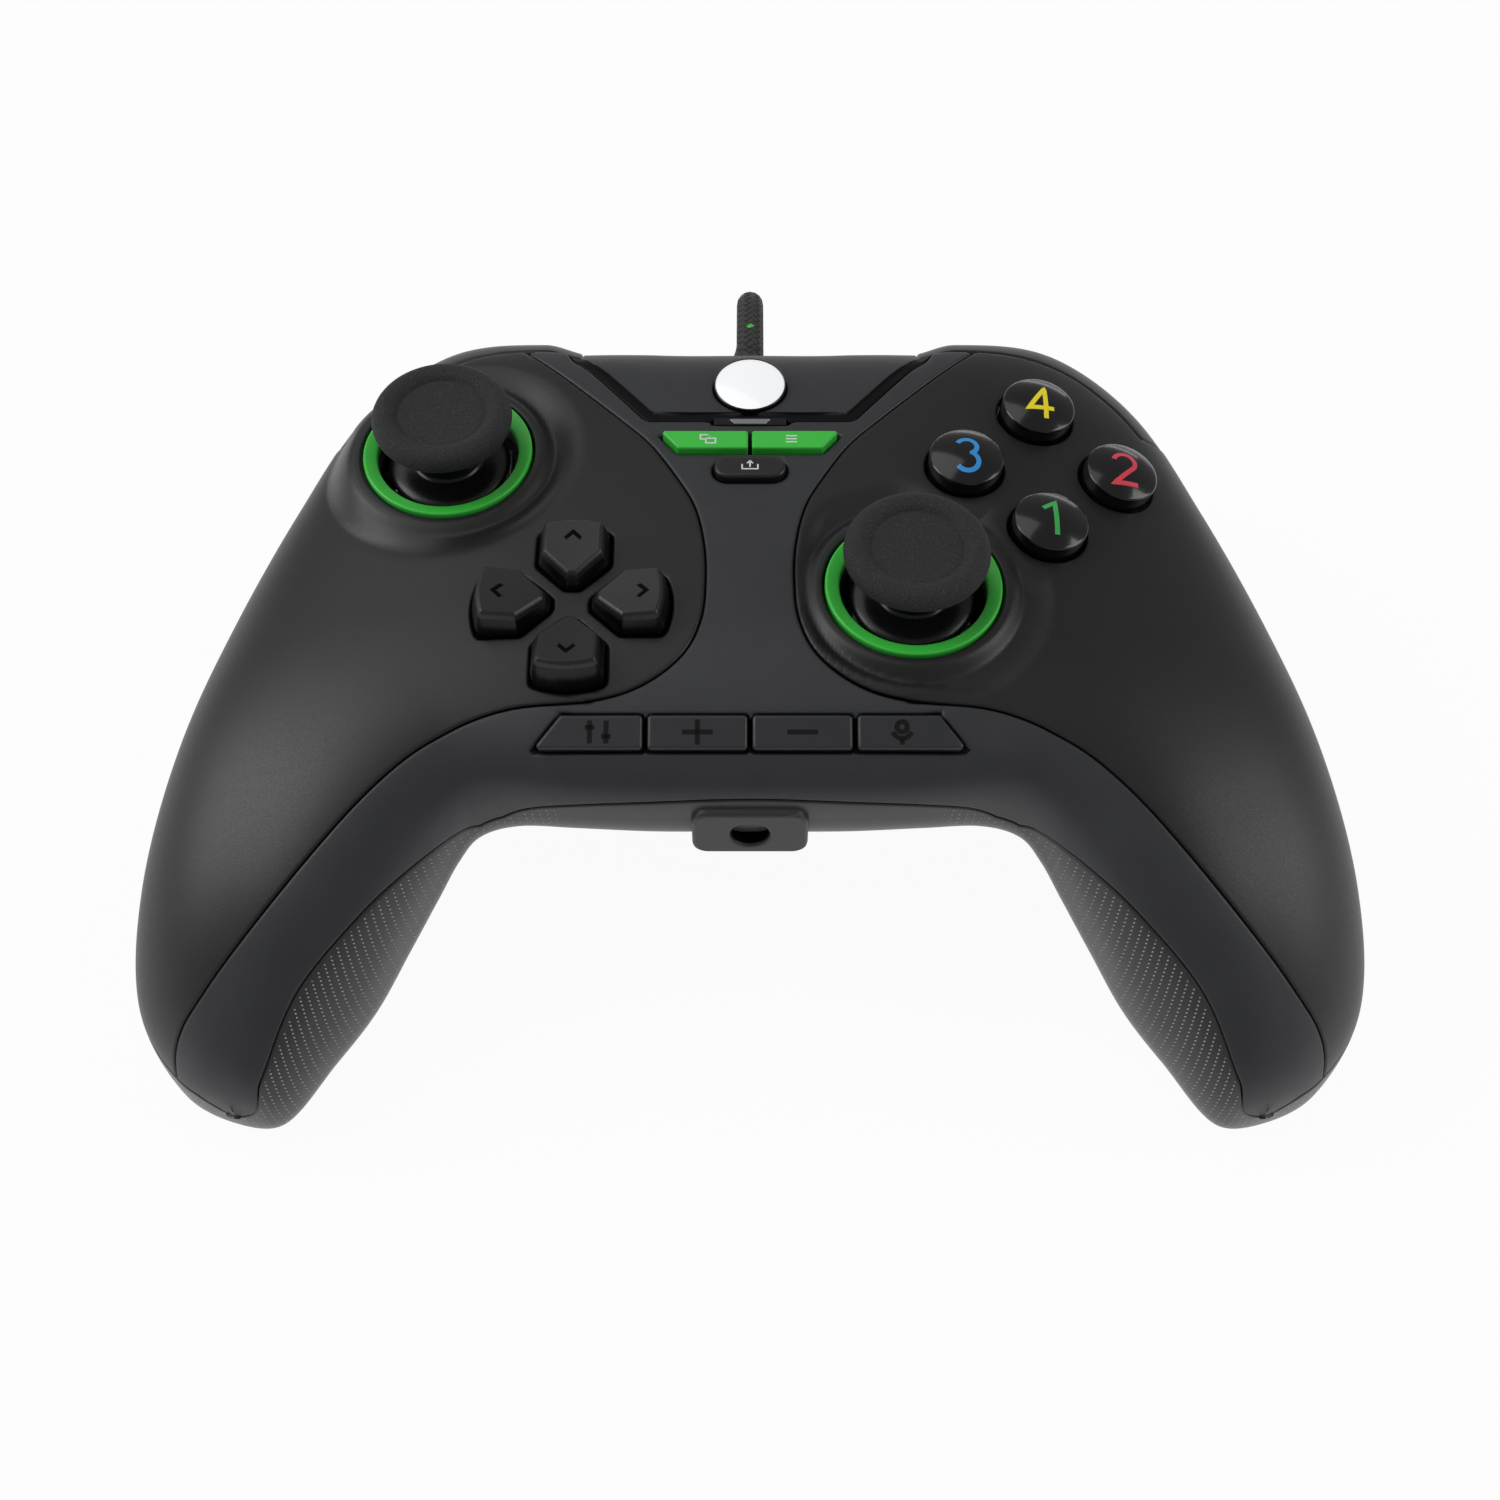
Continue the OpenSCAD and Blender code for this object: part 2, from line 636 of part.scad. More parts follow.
// A trigger: a hooked blade carried by two ears on its hinge pin
stand_w = (-pad_z + 0.1 - 36 * sin(rest_tilt)) / cos(rest_tilt);
blade_pts = [[34.5, trigger_top], [39.5, trigger_top - 0.6], [42, trigger_top - 3], [trigger_bulge_v, trigger_bulge_w],
    [41.6, -29], [40, -35], [39.6, stand_w + 3], [38.4, stand_w + 0.6], [36, stand_w], [34.6, stand_w + 1.6], [35.6, -36],
    [36.8, -30], [36.6, -24], [34, trigger_top - 3.4], [32.5, trigger_top - 1.6]];
ear_w = 4;
module blade_outline() { polygon(curve_closed(blade_pts, 3)); }
module ear_outline() {
    difference() {
        union() {
            translate([pin_v, pin_w]) circle(r = hub_r);
            polygon([[pin_v, pin_w + hub_r], [36, trigger_top - 0.6], [38.5, -24], [pin_v, pin_w - hub_r]]);
        }
        translate([pin_v, pin_w]) circle(r = pin_r + pin_play);
    }
}
module trigger(side) {
    color(deep) pad() sided(side) {
        along_u(trigger_in, trigger_in + trigger_w) blade_outline();
        for (u = [trigger_in, trigger_in + hinge_w - ear_w]) along_u(u, u + ear_w) ear_outline();
    }
}
module trigger_left() { trigger(-1); }
module trigger_right() { trigger(1); }
pin_over = pocket_gap + cheek_t;
module trigger_pins() {
    color(steel) pad() for (side = [-1, 1]) sided(side)
        along_u(trigger_in - pin_over, trigger_in + hinge_w + pin_over) translate([pin_v, pin_w]) circle(r = pin_r);
}
spring_turns = 4;
spring_wire = 0.8;
spring_r = pin_r + 0.5 + spring_wire / 2;
spring_len = hinge_w - 2 * ear_w - 2;
spring_path = [for (i = [0:8 * spring_turns])
    [trigger_in + ear_w + 1 + spring_wire / 2 + (spring_len - spring_wire) * i / (8 * spring_turns),
     pin_v + spring_r * cos(45 * i), pin_w + spring_r * sin(45 * i)]];
module trigger_springs() {
    color(steel) pad() for (side = [-1, 1]) sided(side) tube(spring_path, spring_wire, 5);
}

// A stick: ring, rubber cap, ball dome on a post, and the two yokes of its gimbal
module at_stick(at) { pad() translate(at) children(); }
module stick_ring(at) {
    color(green) at_stick(at) rotate_extrude() polygon([[ring_bore_r, -ring_seat], [foot_r, -ring_seat],
        [foot_r, foot_top], [ring_r, foot_top], [ring_r, ring_top], [ring_r - 0.3, ring_top],
        [ring_bore_r, ring_top - ring_dip]]);
}
neck_r = 4.4;
dome_low = 33;
// The dome is a ball at its rim and flatter towards the neck
dome_flat = 1.3;
post_r_stick = 1.5;
cap_under = cap_height - cap_thick;
dish_r = 6.4;
dish_depth = 0.9;
rim_round = 1.4;
module stick_cap(at) {
    arc = [for (a = [-70:20:90]) [cap_r - rim_round + rim_round * cos(a), cap_height - rim_round + rim_round * sin(a)]];
    color(deep) at_stick(at) rotate_extrude() polygon(concat([[0, cap_under], [neck_r + 0.6, cap_under]], arc,
        [[dish_r + 0.6, cap_height - 0.15], [dish_r, cap_height - dish_depth], [0, cap_height - dish_depth - 0.3]]));
}
dome_wall = 1.2;
yoke_half_t = 1.5;
module stick_dome(at) {
    function ball(a, inset) = (dome_r - inset - dome_flat * ramp(dome_low, 62, a)) * [cos(a), sin(a)];
    outer = [for (i = [0:6]) ball(lerp(dome_low, 58, i / 6), 0)];
    post_a = acos(post_r_stick / (dome_r - dome_wall - dome_flat));
    inner = [for (i = [0:6]) ball(lerp(post_a, dome_low, i / 6), dome_wall)];
    color(deep) at_stick(at) translate([0, 0, -pivot_depth]) rotate_extrude() polygon(concat(
        outer, [[neck_r, cap_under + pivot_depth], [0, cap_under + pivot_depth],
        [0, -2 * yoke_half_t], [post_r_stick, -2 * yoke_half_t]], inner));
}
frame_in = 6.4;
frame_out = 7.6;
yoke_u = 5.9;
yoke_v = 5.4;
yoke_bar = 1.6;
trunnion_r = 1;
inner_u = yoke_u - yoke_bar - 0.7;
inner_v = yoke_v - yoke_bar - 0.4;
module yoke_outer(at) {
    color(deep) at_stick(at) translate([0, 0, -pivot_depth]) difference() {
        union() {
            translate([-yoke_u, -yoke_v, -yoke_half_t]) cube([2 * yoke_u, 2 * yoke_v, 2 * yoke_half_t]);
            rotate([0, 90, 0]) cylinder(r = trunnion_r, h = 2 * (frame_out - 0.3), center = true);
        }
        translate([-yoke_u + yoke_bar, -yoke_v + yoke_bar, -5]) cube([2 * (yoke_u - yoke_bar), 2 * (yoke_v - yoke_bar), 10]);
        rotate([90, 0, 0]) cylinder(r = trunnion_r + pin_play, h = 30, center = true);
    }
}
module yoke_inner(at) {
    color(slate) at_stick(at) translate([0, 0, -pivot_depth]) difference() {
        union() {
            translate([-inner_u, -inner_v, -yoke_half_t]) cube([2 * inner_u, 2 * inner_v, 2 * yoke_half_t]);
            rotate([90, 0, 0]) cylinder(r = trunnion_r, h = 2 * yoke_v, center = true);
        }
        cylinder(r = post_r_stick + pin_play, h = 20, center = true);
    }
}
ear_half = 2.2;
module stick_housing(at) {
    base = -board_top - at[2];
    color(steel) at_stick(at) difference() {
        union() {
            translate([-frame_out, -frame_out, base]) cube([2 * frame_out, 2 * frame_out, -pivot_depth - base]);
            for (s = [-1, 1]) translate([s > 0 ? frame_in : -frame_out, -ear_half, -pivot_depth - 1])
                cube([frame_out - frame_in, 2 * ear_half, 1 + ear_half]);
        }
        translate([-frame_in, -frame_in, base - 1]) cube([2 * frame_in, 2 * frame_in, 40]);
        translate([0, 0, -pivot_depth]) rotate([0, 90, 0]) cylinder(r = trunnion_r + pin_play, h = 40, center = true);
    }
}
module left_stick_ring() { stick_ring(left_stick); }
module left_stick_cap() { stick_cap(left_stick); }
module left_stick_dome() { stick_dome(left_stick); }
module left_yoke_outer() { yoke_outer(left_stick); }
module left_yoke_inner() { yoke_inner(left_stick); }
module left_stick_housing() { stick_housing(left_stick); }
module right_stick_ring() { stick_ring(right_stick); }
module right_stick_cap() { stick_cap(right_stick); }
module right_stick_dome() { stick_dome(right_stick); }
module right_yoke_outer() { yoke_outer(right_stick); }
module right_yoke_inner() { yoke_inner(right_stick); }
module right_stick_housing() { stick_housing(right_stick); }

// Direction keys: a tapered cap on a flange under the panel
dpad_taper = 0.8;
module dpad_key(k) {
    color(deep) pad() translate([dpad_u, dpad_v, 0]) rotate(90 * k) {
        hull() {
            translate([0, 0, -dpad_plate - seam_gap]) linear_extrude(dpad_plate + seam_gap + dpad_height - 1.2) dpad_outline(0);
            translate([0, 0, dpad_height - 0.1]) linear_extrude(0.1) dpad_outline(-dpad_taper);
        }
        translate([0, 0, -dpad_plate - seam_gap - flange_t]) linear_extrude(flange_t) intersection() {
            dpad_outline(dpad_lip);
            rotate(45) translate([0.35, 0.35]) square(40);
        }
    }
}
module dpad_up() { dpad_key(0); }
module dpad_left() { dpad_key(1); }
module dpad_down() { dpad_key(2); }
module dpad_right() { dpad_key(3); }

// Rubber membranes on the board, with a nub under each key
membrane_t = 1;
nub_r = 2.6;
module dpad_membrane() {
    low = -dpad_plate - seam_gap - flange_t - dpad_travel - 0.3;
    color([0.35, 0.35, 0.36]) pad() translate([dpad_u, dpad_v, -board_top]) {
        cylinder(r = dpad_reach - 2.2, h = membrane_t);
        for (k = [0:3]) rotate(90 * k) translate([0, dpad_shoulder + 2, 0]) cylinder(r = nub_r, h = board_top + low);
    }
}
button_dome = 0.9;
button_edge = 0.7;
module face_button(k) {
    top = face_height - button_dome;
    color(deep) pad() at_face(face_at(k)) rotate_extrude() polygon(concat(
        [[0, -well_depth - seam_gap - flange_t], [face_r + flange_w, -well_depth - seam_gap - flange_t],
         [face_r + flange_w, -well_depth - seam_gap], [face_r, -well_depth - seam_gap]],
        [for (a = [0:30:60]) [face_r - button_edge + button_edge * cos(a), top - button_edge + button_edge * sin(a)]],
        [for (x = [0.8, 0.6, 0.4, 0.2, 0]) [(face_r - button_edge) * x, top + button_dome * (1 - x * x)]]));
}
module face_button_north() { face_button(0); }
module face_button_west() { face_button(1); }
module face_button_south() { face_button(2); }
module face_button_east() { face_button(3); }
function face_low(k) =
    -bend(face_at(k)[0], face_at(k)[1]) - well_depth - seam_gap - flange_t - face_travel
    - (face_r + flange_w) * tan(abs(lean(face_at(k)[0]))) - 0.3;
module face_membrane() {
    color([0.35, 0.35, 0.36]) pad() translate([0, 0, -board_top]) {
        translate([face_u, face_v, 0]) cylinder(r = face_pitch, h = min(membrane_t, board_top + face_low(3)));
        for (k = [0:2]) translate(face_at(k)) cylinder(r = nub_r, h = board_top + face_low(k));
    }
}

// Small keys with a stem each, and the switches under them
small_stem = 1.6;
stem_low = -9.6;
switch_half = 2;
module small_key_stem(u, v) { translate([u, v, stem_low]) cylinder(r = small_stem, h = -stem_low - 1); }
module guide_button() {
    color([0.9, 0.9, 0.92]) pad() translate([0, guide_v, 0]) rotate_extrude() polygon(concat(
        [[0, stem_low], [small_stem, stem_low], [small_stem, -guide_well - seam_gap - flange_t],
         [guide_r + guide_lip, -guide_well - seam_gap - flange_t], [guide_r + guide_lip, -guide_well - seam_gap],
         [guide_r, -guide_well - seam_gap]],
        [for (x = [1, 0.8, 0.6, 0.4, 0.2, 0]) [guide_r * x, 0.2 + 0.9 * (1 - x * x)]]));
}
key_under = -wall - seam_gap - 0.5;
module pair_key(side) {
    color(green) pad() sided(side) {
        translate([0, 0, key_under]) linear_extrude(pair_height - key_under) pair_outline(0);
        translate([0, 0, key_under - flange_t]) linear_extrude(flange_t) difference() {
            pair_outline(0.8);
            translate([-5, 0]) square([5 + pair_split, 40]);
        }
        small_key_stem(5, (pair_front + pair_rear) / 2);
    }
}
module view_button() { pair_key(-1); }
module menu_button() { pair_key(1); }
module share_button() {
    color(deep) pad() {
        translate([0, 0, key_under]) linear_extrude(1.2 - key_under) share_outline(0);
        translate([0, 0, key_under - flange_t]) linear_extrude(flange_t) intersection() {
            share_outline(0.8);
            translate([-20, 0]) square([40, pair_front - 1.2 - key_gap]);
        }
        small_key_stem(0, share_v);
    }
}
row_stem_u = [-19, -9, 9, 19];
module function_key(k) {
    color(black) pad() at_row() {
        translate([0, 0, -row_flange]) linear_extrude(row_flange + 0.9) row_key(k);
        translate([0, 0, -row_flange]) linear_extrude(0.8) row_key(k, row_lip);
        translate([row_stem_u[k], 0, -row_flange - 3.2]) cylinder(r = small_stem, h = 4);
    }
}
module function_key_profile() { function_key(0); }
module function_key_plus() { function_key(1); }
module function_key_minus() { function_key(2); }
module function_key_mute() { function_key(3); }
switch_places = concat([[0, guide_v], [-5, 13.8], [5, 13.8], [0, share_v]]);
row_switch_top = -11.4;
module tact_switches() {
    color([0.3, 0.3, 0.31]) pad() {
        for (p = switch_places) translate([p[0] - switch_half, p[1] - switch_half, -board_top])
            cube([2 * switch_half, 2 * switch_half, board_top + stem_low - small_travel - 0.3]);
        for (u = row_stem_u) translate([u - switch_half, -32.8, -board_top]) cube([2 * switch_half, 3.6, board_top + row_switch_top]);
    }
}

// Back buttons follow the shell and stand a little proud of it
module back_button(side) {
    color(deep) pad() moulding() intersection() {
        difference() {
            body_solid(-back_proud);
            body_solid(wall);
        }
        plan(far_down, back_top - 1) sided(side) back_region();
    }
}
module back_button_left() { back_button(-1); }
module back_button_right() { back_button(1); }

// Circuit board, notched for the headset jack and drilled for the screws
module main_board() {
    color([0.07, 0.3, 0.16]) pad() translate([0, 0, -board_top - board_t]) difference() {
        linear_extrude(board_t) difference() {
            union() {
                translate([-35, -33]) square([70, 36]);
                translate([-53, 3]) square([106, 14]);
                translate([-48.5, 2]) square([97, 18.5]);
                translate([-28, 10]) square([56, 18]);
            }
            translate([-jack_half - 1, -40]) square([2 * jack_half + 2, jack_front + jack_len + 41]);
        }
        for (p = post_places) translate([p[0], p[1], -5]) cylinder(r = shank_r + 0.3, h = 20);
    }
}
module audio_jack() {
    color(deep) pad() difference() {
        jack_space(0);
        translate([0, jack_front - 1, jack_w]) rotate([-90, 0, 0]) cylinder(r = jack_r, h = jack_len - 1);
    }
}
shaft_r = 0.9;
shaft_len = 7;
weight_r = 5.6;
weight_t = 5;
module rumble_motor(side) {
    color(steel) pad() motor_axis(side) {
        cylinder(r = motor_r, h = motor_len);
        translate([0, 0, motor_len]) cylinder(r = shaft_r, h = shaft_len);
    }
}
module rumble_motor_left() { rumble_motor(-1); }
module rumble_motor_right() { rumble_motor(1); }
module rumble_weight(side) {
    color(steel) pad() motor_axis(side) translate([0, 0, motor_len + 0.5]) linear_extrude(weight_t) difference() {
        union() {
            circle(r = shaft_r + 1.2);
            intersection() {
                circle(r = weight_r);
                translate([-weight_r, -weight_r]) square([2 * weight_r, weight_r]);
            }
        }
        circle(r = shaft_r + pin_play);
    }
}
module rumble_weight_left() { rumble_weight(-1); }
module rumble_weight_right() { rumble_weight(1); }
screw_len = 9;
module case_screws() {
    color(steel) pad() for (p = post_places) translate([p[0], p[1], screw_seat]) {
        translate([0, 0, -head_h]) cylinder(r = head_r, h = head_h);
        cylinder(r = shank_r, h = screw_len);
    }
}

// The cable: a tapered strain relief, a lead that droops to the table, the wound coil, a tail
// and the plug. Points are in the table's frame, level with the pad's own middle.
relief_in = 28.1;
relief_end = 40.5;
relief_tip_r = 2.7;
module strain_relief() {
    color(deep) pad() translate([0, relief_in, relief_w]) rotate([-90, 0, 0]) rotate_extrude() polygon([[0, 0], [4.3, 0],
        [4.3, 0.6], [3.4, 0.6], [3.4, 7.2], [relief_tip_r, relief_end - relief_in], [0, relief_end - relief_in]]);
}
module on_table() { translate([0, pad_y, 0]) children(); }
cable_r = cable_d / 2;
tie_t = 0.8;
floor_z = cable_r + 0.1;
coil_pitch = cable_d + coil_gap;
coil_v = 29.5;
coil_low = tie_t + cable_r + 0.1;
coil_layers = 4;
loop_rings = 24;
// Turns run counter-clockwise from the left: in, out, in and out, one layer higher each time
coil_total = coil_turns * coil_layers;
function coil_wave(turn) = let(k = turn % (2 * coil_turns)) k < coil_turns ? k : 2 * coil_turns - k;
function coil_layer(turn) =
    let(k = round(turn / coil_turns))
    k == 0 || k == coil_layers ? (k == 0 ? 0 : coil_layers - 1)
    : k - 1 + clamp01((turn - k * coil_turns + 0.25) / 0.5);
function coil_point(turn) =
    let(r = coil_r - coil_pitch * coil_wave(turn), a = 180 + 360 * turn)
    [r * cos(a), coil_v + r * sin(a), coil_low + coil_pitch * coil_layer(turn)];
coil_steps = round(coil_total * loop_rings);
coil_turning = [for (i = [0:coil_steps]) coil_point(coil_total * i / coil_steps)];
// Both ends run straight for one diameter, so that lead and tail meet them squarely
coil_path = concat([coil_turning[0] + [0, cable_d, 0]], coil_turning, [coil_turning[coil_steps] - [0, cable_d, 0]]);
function path_len(p) = [for (i = 1, s = 0; i <= len(p); s = s + (i < len(p) ? norm(p[i] - p[i - 1]) : 0), i = i + 1) s][len(p) - 1];
apart = loop_rings / 2;
coil_clear = min([for (i = [0:coil_steps + 2 - apart]) min([for (j = [i + apart:coil_steps + 2])
    norm(coil_path[i] - coil_path[j])])]) - cable_d;
echo(coil_length = path_len(coil_path), coil_least_gap = coil_clear);

relief_tip = [0, stand_y([0, relief_end, relief_w]), pad_z + stand_z([0, relief_end, relief_w])];
relief_dir = [0, cos(rest_tilt), sin(rest_tilt)];
lead_pts = concat([relief_tip + 0.1 * relief_dir, relief_tip + 1.6 * relief_dir, relief_tip + cable_d * relief_dir],
    [[0, 54, 34.2], [0, 58.5, 31], [0, 62, 26.2], [0, 63.9, 20],
    [-1.2, 64.9, 13], [-6.2, 65, 7.4], [-14.5, 62.5, 3.6], [-22.5, 57.6, 2.1], [-28.5, 50, 2.3], [-30.6, 42, 2.8]],
    [coil_path[0] + [0, cable_d, 0], coil_path[0]]);
function tube_path(pts, n) =
    concat([for (i = [0:len(pts) - 2], j = [0:n - 1])
        let(a = i > 0 ? pts[i - 1] : 2 * pts[0] - pts[1],
            d = i < len(pts) - 2 ? pts[i + 2] : 2 * pts[len(pts) - 1] - pts[len(pts) - 2])
        catmull(a, pts[i], pts[i + 1], d, j / n)], [pts[len(pts) - 1]]);
lead_path = tube_path(lead_pts, 3);
coil_end = coil_path[coil_steps + 2];
plug_u = -15;
plug_v = -10.9;
plug_z = 4.2;
tail_pts = [coil_end, coil_end - [0, cable_d, 0], coil_end - [0, 2 * cable_d, 0], [-32, 11, 14.4], [-33, 5, 11.2],
    [-32, -1, 8.2], [-29.7, -5.4, 6], [-25, -9.1, 4.6], [plug_u - cable_d, plug_v, plug_z], [plug_u, plug_v, plug_z]];
tail_path = tube_path(tail_pts, 3);
echo(lead_length = path_len(lead_path), tail_length = path_len(tail_path));

function unit(v) = v / norm(v);
function tangent(p, i) = unit(p[min(len(p) - 1, i + 1)] - p[max(0, i - 1)]);
// Frames carried along the path without twist
function frames(p) =
    let(t0 = tangent(p, 0), seed = abs(t0[2]) < 0.9 ? [0, 0, 1] : [1, 0, 0])
    [for (i = 0, s = unit(cross(t0, seed)); i < len(p);
          i = i + 1, s = i < len(p) ? unit(s - (s * tangent(p, i)) * tangent(p, i)) : s) s];
module tube(path, d, sides) {
    sides_at = frames(path);
    ring_solid([for (i = [0:len(path) - 1])
        let(t = tangent(path, i), s = sides_at[i], n = cross(s, t))
        [for (k = [0:sides - 1]) path[i] + d / 2 * (s * cos(360 * k / sides) + n * sin(360 * k / sides))]]);
}
lead_sides = 8;
module cable_lead() { color(deep) on_table() tube(lead_path, cable_d, lead_sides); }
module cable_coil() { color(deep) on_table() tube(coil_path, cable_d, 6); }
module cable_tail() { color(deep) on_table() tube(tail_path, cable_d, lead_sides); }

// A strap round the coil's turns on the right
tie_room = 0.25;
module cable_tie() {
    low_r = coil_r - coil_pitch * coil_turns - cable_r - tie_room;
    high_r = coil_r + cable_r + tie_room;
    top = coil_low + coil_pitch * (coil_layers - 1) + cable_r + tie_room;
    color(black) on_table() translate([0, coil_v + tie_w / 2, 0]) rotate([90, 0, 0]) linear_extrude(tie_w) difference() {
        translate([low_r - tie_t, 0]) square([high_r - low_r + 2 * tie_t, top + tie_t]);
        translate([low_r, tie_t]) square([high_r - low_r, top - tie_t]);
    }
}
plug_len = 22;
plug_w = 15;
plug_h = 8;
shell_len = 12;
shell_w = 12;
shell_h = 4.5;
shell_t = 0.4;
module usb_plug() {
    color(deep) on_table() translate([plug_u, plug_v, plug_z]) rotate([0, 90, 0]) difference() {
        union() {
            linear_extrude(plug_len) square([plug_h, plug_w], center = true);
            linear_extrude(plug_len + shell_len) square([shell_h, shell_w], center = true);
        }
        translate([-shell_h / 2 + shell_t, -shell_w / 2 + shell_t, plug_len + 1])
            cube([shell_h / 2 - shell_t + 0.2, shell_w - 2 * shell_t, shell_len]);
    }
}

left_face_panel();
right_face_panel();
center_frame();
guide_panel();
indicator_lens();
rear_shell();
bumper_left();
bumper_right();
trigger_left();
trigger_right();
trigger_pins();
trigger_springs();
left_stick_ring();
left_stick_cap();
left_stick_dome();
left_yoke_outer();
left_yoke_inner();
left_stick_housing();
right_stick_ring();
right_stick_cap();
right_stick_dome();
right_yoke_outer();
right_yoke_inner();
right_stick_housing();
dpad_up();
dpad_left();
dpad_down();
dpad_right();
dpad_membrane();
face_button_north();
face_button_west();
face_button_south();
face_button_east();
face_membrane();
guide_button();
view_button();
menu_button();
share_button();
function_key_profile();
function_key_plus();
function_key_minus();
function_key_mute();
tact_switches();
back_button_left();
back_button_right();
main_board();
audio_jack();
rumble_motor_left();
rumble_motor_right();
rumble_weight_left();
rumble_weight_right();
case_screws();
strain_relief();
cable_lead();
cable_coil();
cable_tail();
cable_tie();
usb_plug();
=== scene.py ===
"""Looks of a wired gamepad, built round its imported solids.

The shells are one skin: sections with rounded-square outlines, carried from grip to grip. Each
shell is a grid on that skin, trimmed along its seams and holes and given a wall. Keys, sticks
and cable are turned or lofted surfaces. Sizes are millimetres in the pad's own frame (u right,
v to the rear, w out of the face); Stand turns them into the row's metres.
"""
import logging
import math
from dataclasses import dataclass
from dataclasses import field
from enum import Enum
from typing import Callable

import bpy
import numpy as np
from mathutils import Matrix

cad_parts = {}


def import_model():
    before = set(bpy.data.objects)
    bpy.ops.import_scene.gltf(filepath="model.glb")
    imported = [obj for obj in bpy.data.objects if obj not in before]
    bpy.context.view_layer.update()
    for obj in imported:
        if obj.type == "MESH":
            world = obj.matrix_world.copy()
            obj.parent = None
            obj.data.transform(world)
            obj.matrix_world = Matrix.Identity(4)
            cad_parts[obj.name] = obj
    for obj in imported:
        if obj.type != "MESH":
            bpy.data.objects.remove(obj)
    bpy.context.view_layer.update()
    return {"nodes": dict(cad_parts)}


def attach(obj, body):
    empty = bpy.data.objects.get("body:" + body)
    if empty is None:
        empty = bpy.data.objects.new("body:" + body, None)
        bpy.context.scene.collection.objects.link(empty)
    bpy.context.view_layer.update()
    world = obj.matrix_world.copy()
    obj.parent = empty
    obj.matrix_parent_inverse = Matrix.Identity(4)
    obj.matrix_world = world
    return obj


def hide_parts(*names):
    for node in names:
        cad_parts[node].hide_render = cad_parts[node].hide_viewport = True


LOG = logging.getLogger("gamepad")
MM = 0.001
Array = np.ndarray


def linear(red: float, green: float, blue: float) -> tuple[float, float, float, float]:
    """Turn a colour of 0 to 255 steps into the linear one a shader takes.

    Args:
        red: red as seen on a screen
        green: green as seen on a screen
        blue: blue as seen on a screen

    Returns:
        the linear colour with full opacity
    """
    seen = np.array([red, green, blue]) / 255
    light = np.where(seen <= 0.04045, seen / 12.92, ((seen + 0.055) / 1.055) ** 2.4)
    return (float(light[0]), float(light[1]), float(light[2]), 1.0)


def ramp(low: float, high: float, x: Array) -> Array:
    """Rise from 0 at low to 1 at high with level ends: k squared times (3 - 2k).

    Args:
        low: where the rise starts
        high: where it ends
        x: places to look up

    Returns:
        the heights
    """
    k = np.clip((x - low) / (high - low), 0, 1)
    return k * k * (3 - 2 * k)


def catmull(a: Array, b: Array, c: Array, d: Array, f: Array) -> Array:
    """Cubic through b and c whose slopes there are half of c - a and of d - b.

    Args:
        a: point before
        b: start of the span
        c: end of the span
        d: point after
        f: share of the span

    Returns:
        points on the cubic
    """
    return 0.5 * (2 * b + (c - a) * f + (2 * a - 5 * b + 4 * c - d) * f * f
                  + (3 * b - a - 3 * c + d) * f ** 3)


def spline(points: Array, steps: int, closed: bool = False) -> Array:
    """Carry the cubic through a list of points.

    Args:
        points: points of two or three numbers
        steps: points for each span
        closed: whether the last point runs on into the first

    Returns:
        the points of the curve
    """
    p = np.asarray(points, float)
    if closed:
        a, b, c, d = np.roll(p, 1, 0), p, np.roll(p, -1, 0), np.roll(p, -2, 0)
    else:
        full = np.vstack([2 * p[0] - p[1], p, 2 * p[-1] - p[-2]])
        a, b, c, d = full[:-3], full[1:-2], full[2:-1], full[3:]
    f = (np.arange(steps) / steps)[None, :, None]
    made = catmull(a[:, None], b[:, None], c[:, None], d[:, None], f).reshape(-1, p.shape[1])
    return made if closed else np.vstack([made, p[-1]])


@dataclass(frozen=True)
class Stand:
    """How the pad stands: its frame is tilted about u and lifted onto the table."""

    back: float = 11.92
    lift: float = 45.4927
    tilt: float = math.radians(2)

    def place(self, points: Array) -> Array:
        """Tilt and lift pad points: y = back + v cos - w sin, z = lift + v sin + w cos.

        What would dip under the table by a hair lies flat on it.

        Args:
            points: pad points in millimetres

        Returns:
            row points in metres
        """
        c = math.cos(self.tilt)
        s = math.sin(self.tilt)
        u, v, w = points[:, 0], points[:, 1], points[:, 2]
        height = np.maximum(self.lift + s * v + c * w, 0.0)
        return MM * np.column_stack([u, self.back + c * v - s * w, height])

    def table(self, points: Array) -> Array:
        """Shift points given on the table, level with the pad's middle, into row metres."""
        return MM * (np.asarray(points, float) + np.array([0, self.back, 0]))


STAND = Stand()


def weld(points: Array, faces: Array) -> tuple[Array, Array]:
    """Join points that fall together and drop the triangles that this empties.

    Args:
        points: points in millimetres
        faces: triangles

    Returns:
        the joined points and the triangles that are left
    """
    _, first, back = np.unique(np.round(points, 5), axis=0, return_index=True, return_inverse=True)
    faces = back.reshape(-1)[faces]
    whole = (faces[:, 0] != faces[:, 1]) & (faces[:, 1] != faces[:, 2]) & (faces[:, 2] != faces[:, 0])
    return points[first], faces[whole]


def grid_faces(rows: int, columns: int, around: bool) -> Array:
    """Triangles of a grid whose rows run one after the other.

    Args:
        rows: number of rows
        columns: points in each row
        around: whether each row closes on itself

    Returns:
        the triangles
    """
    i = np.arange(rows - 1)[:, None]
    j = np.arange(columns if around else columns - 1)[None, :]
    k = (j + 1) % columns
    a, b, c, d = i * columns + j, i * columns + k, (i + 1) * columns + k, (i + 1) * columns + j
    return np.concatenate([np.stack([a, b, c], -1).reshape(-1, 3), np.stack([a, c, d], -1).reshape(-1, 3)])


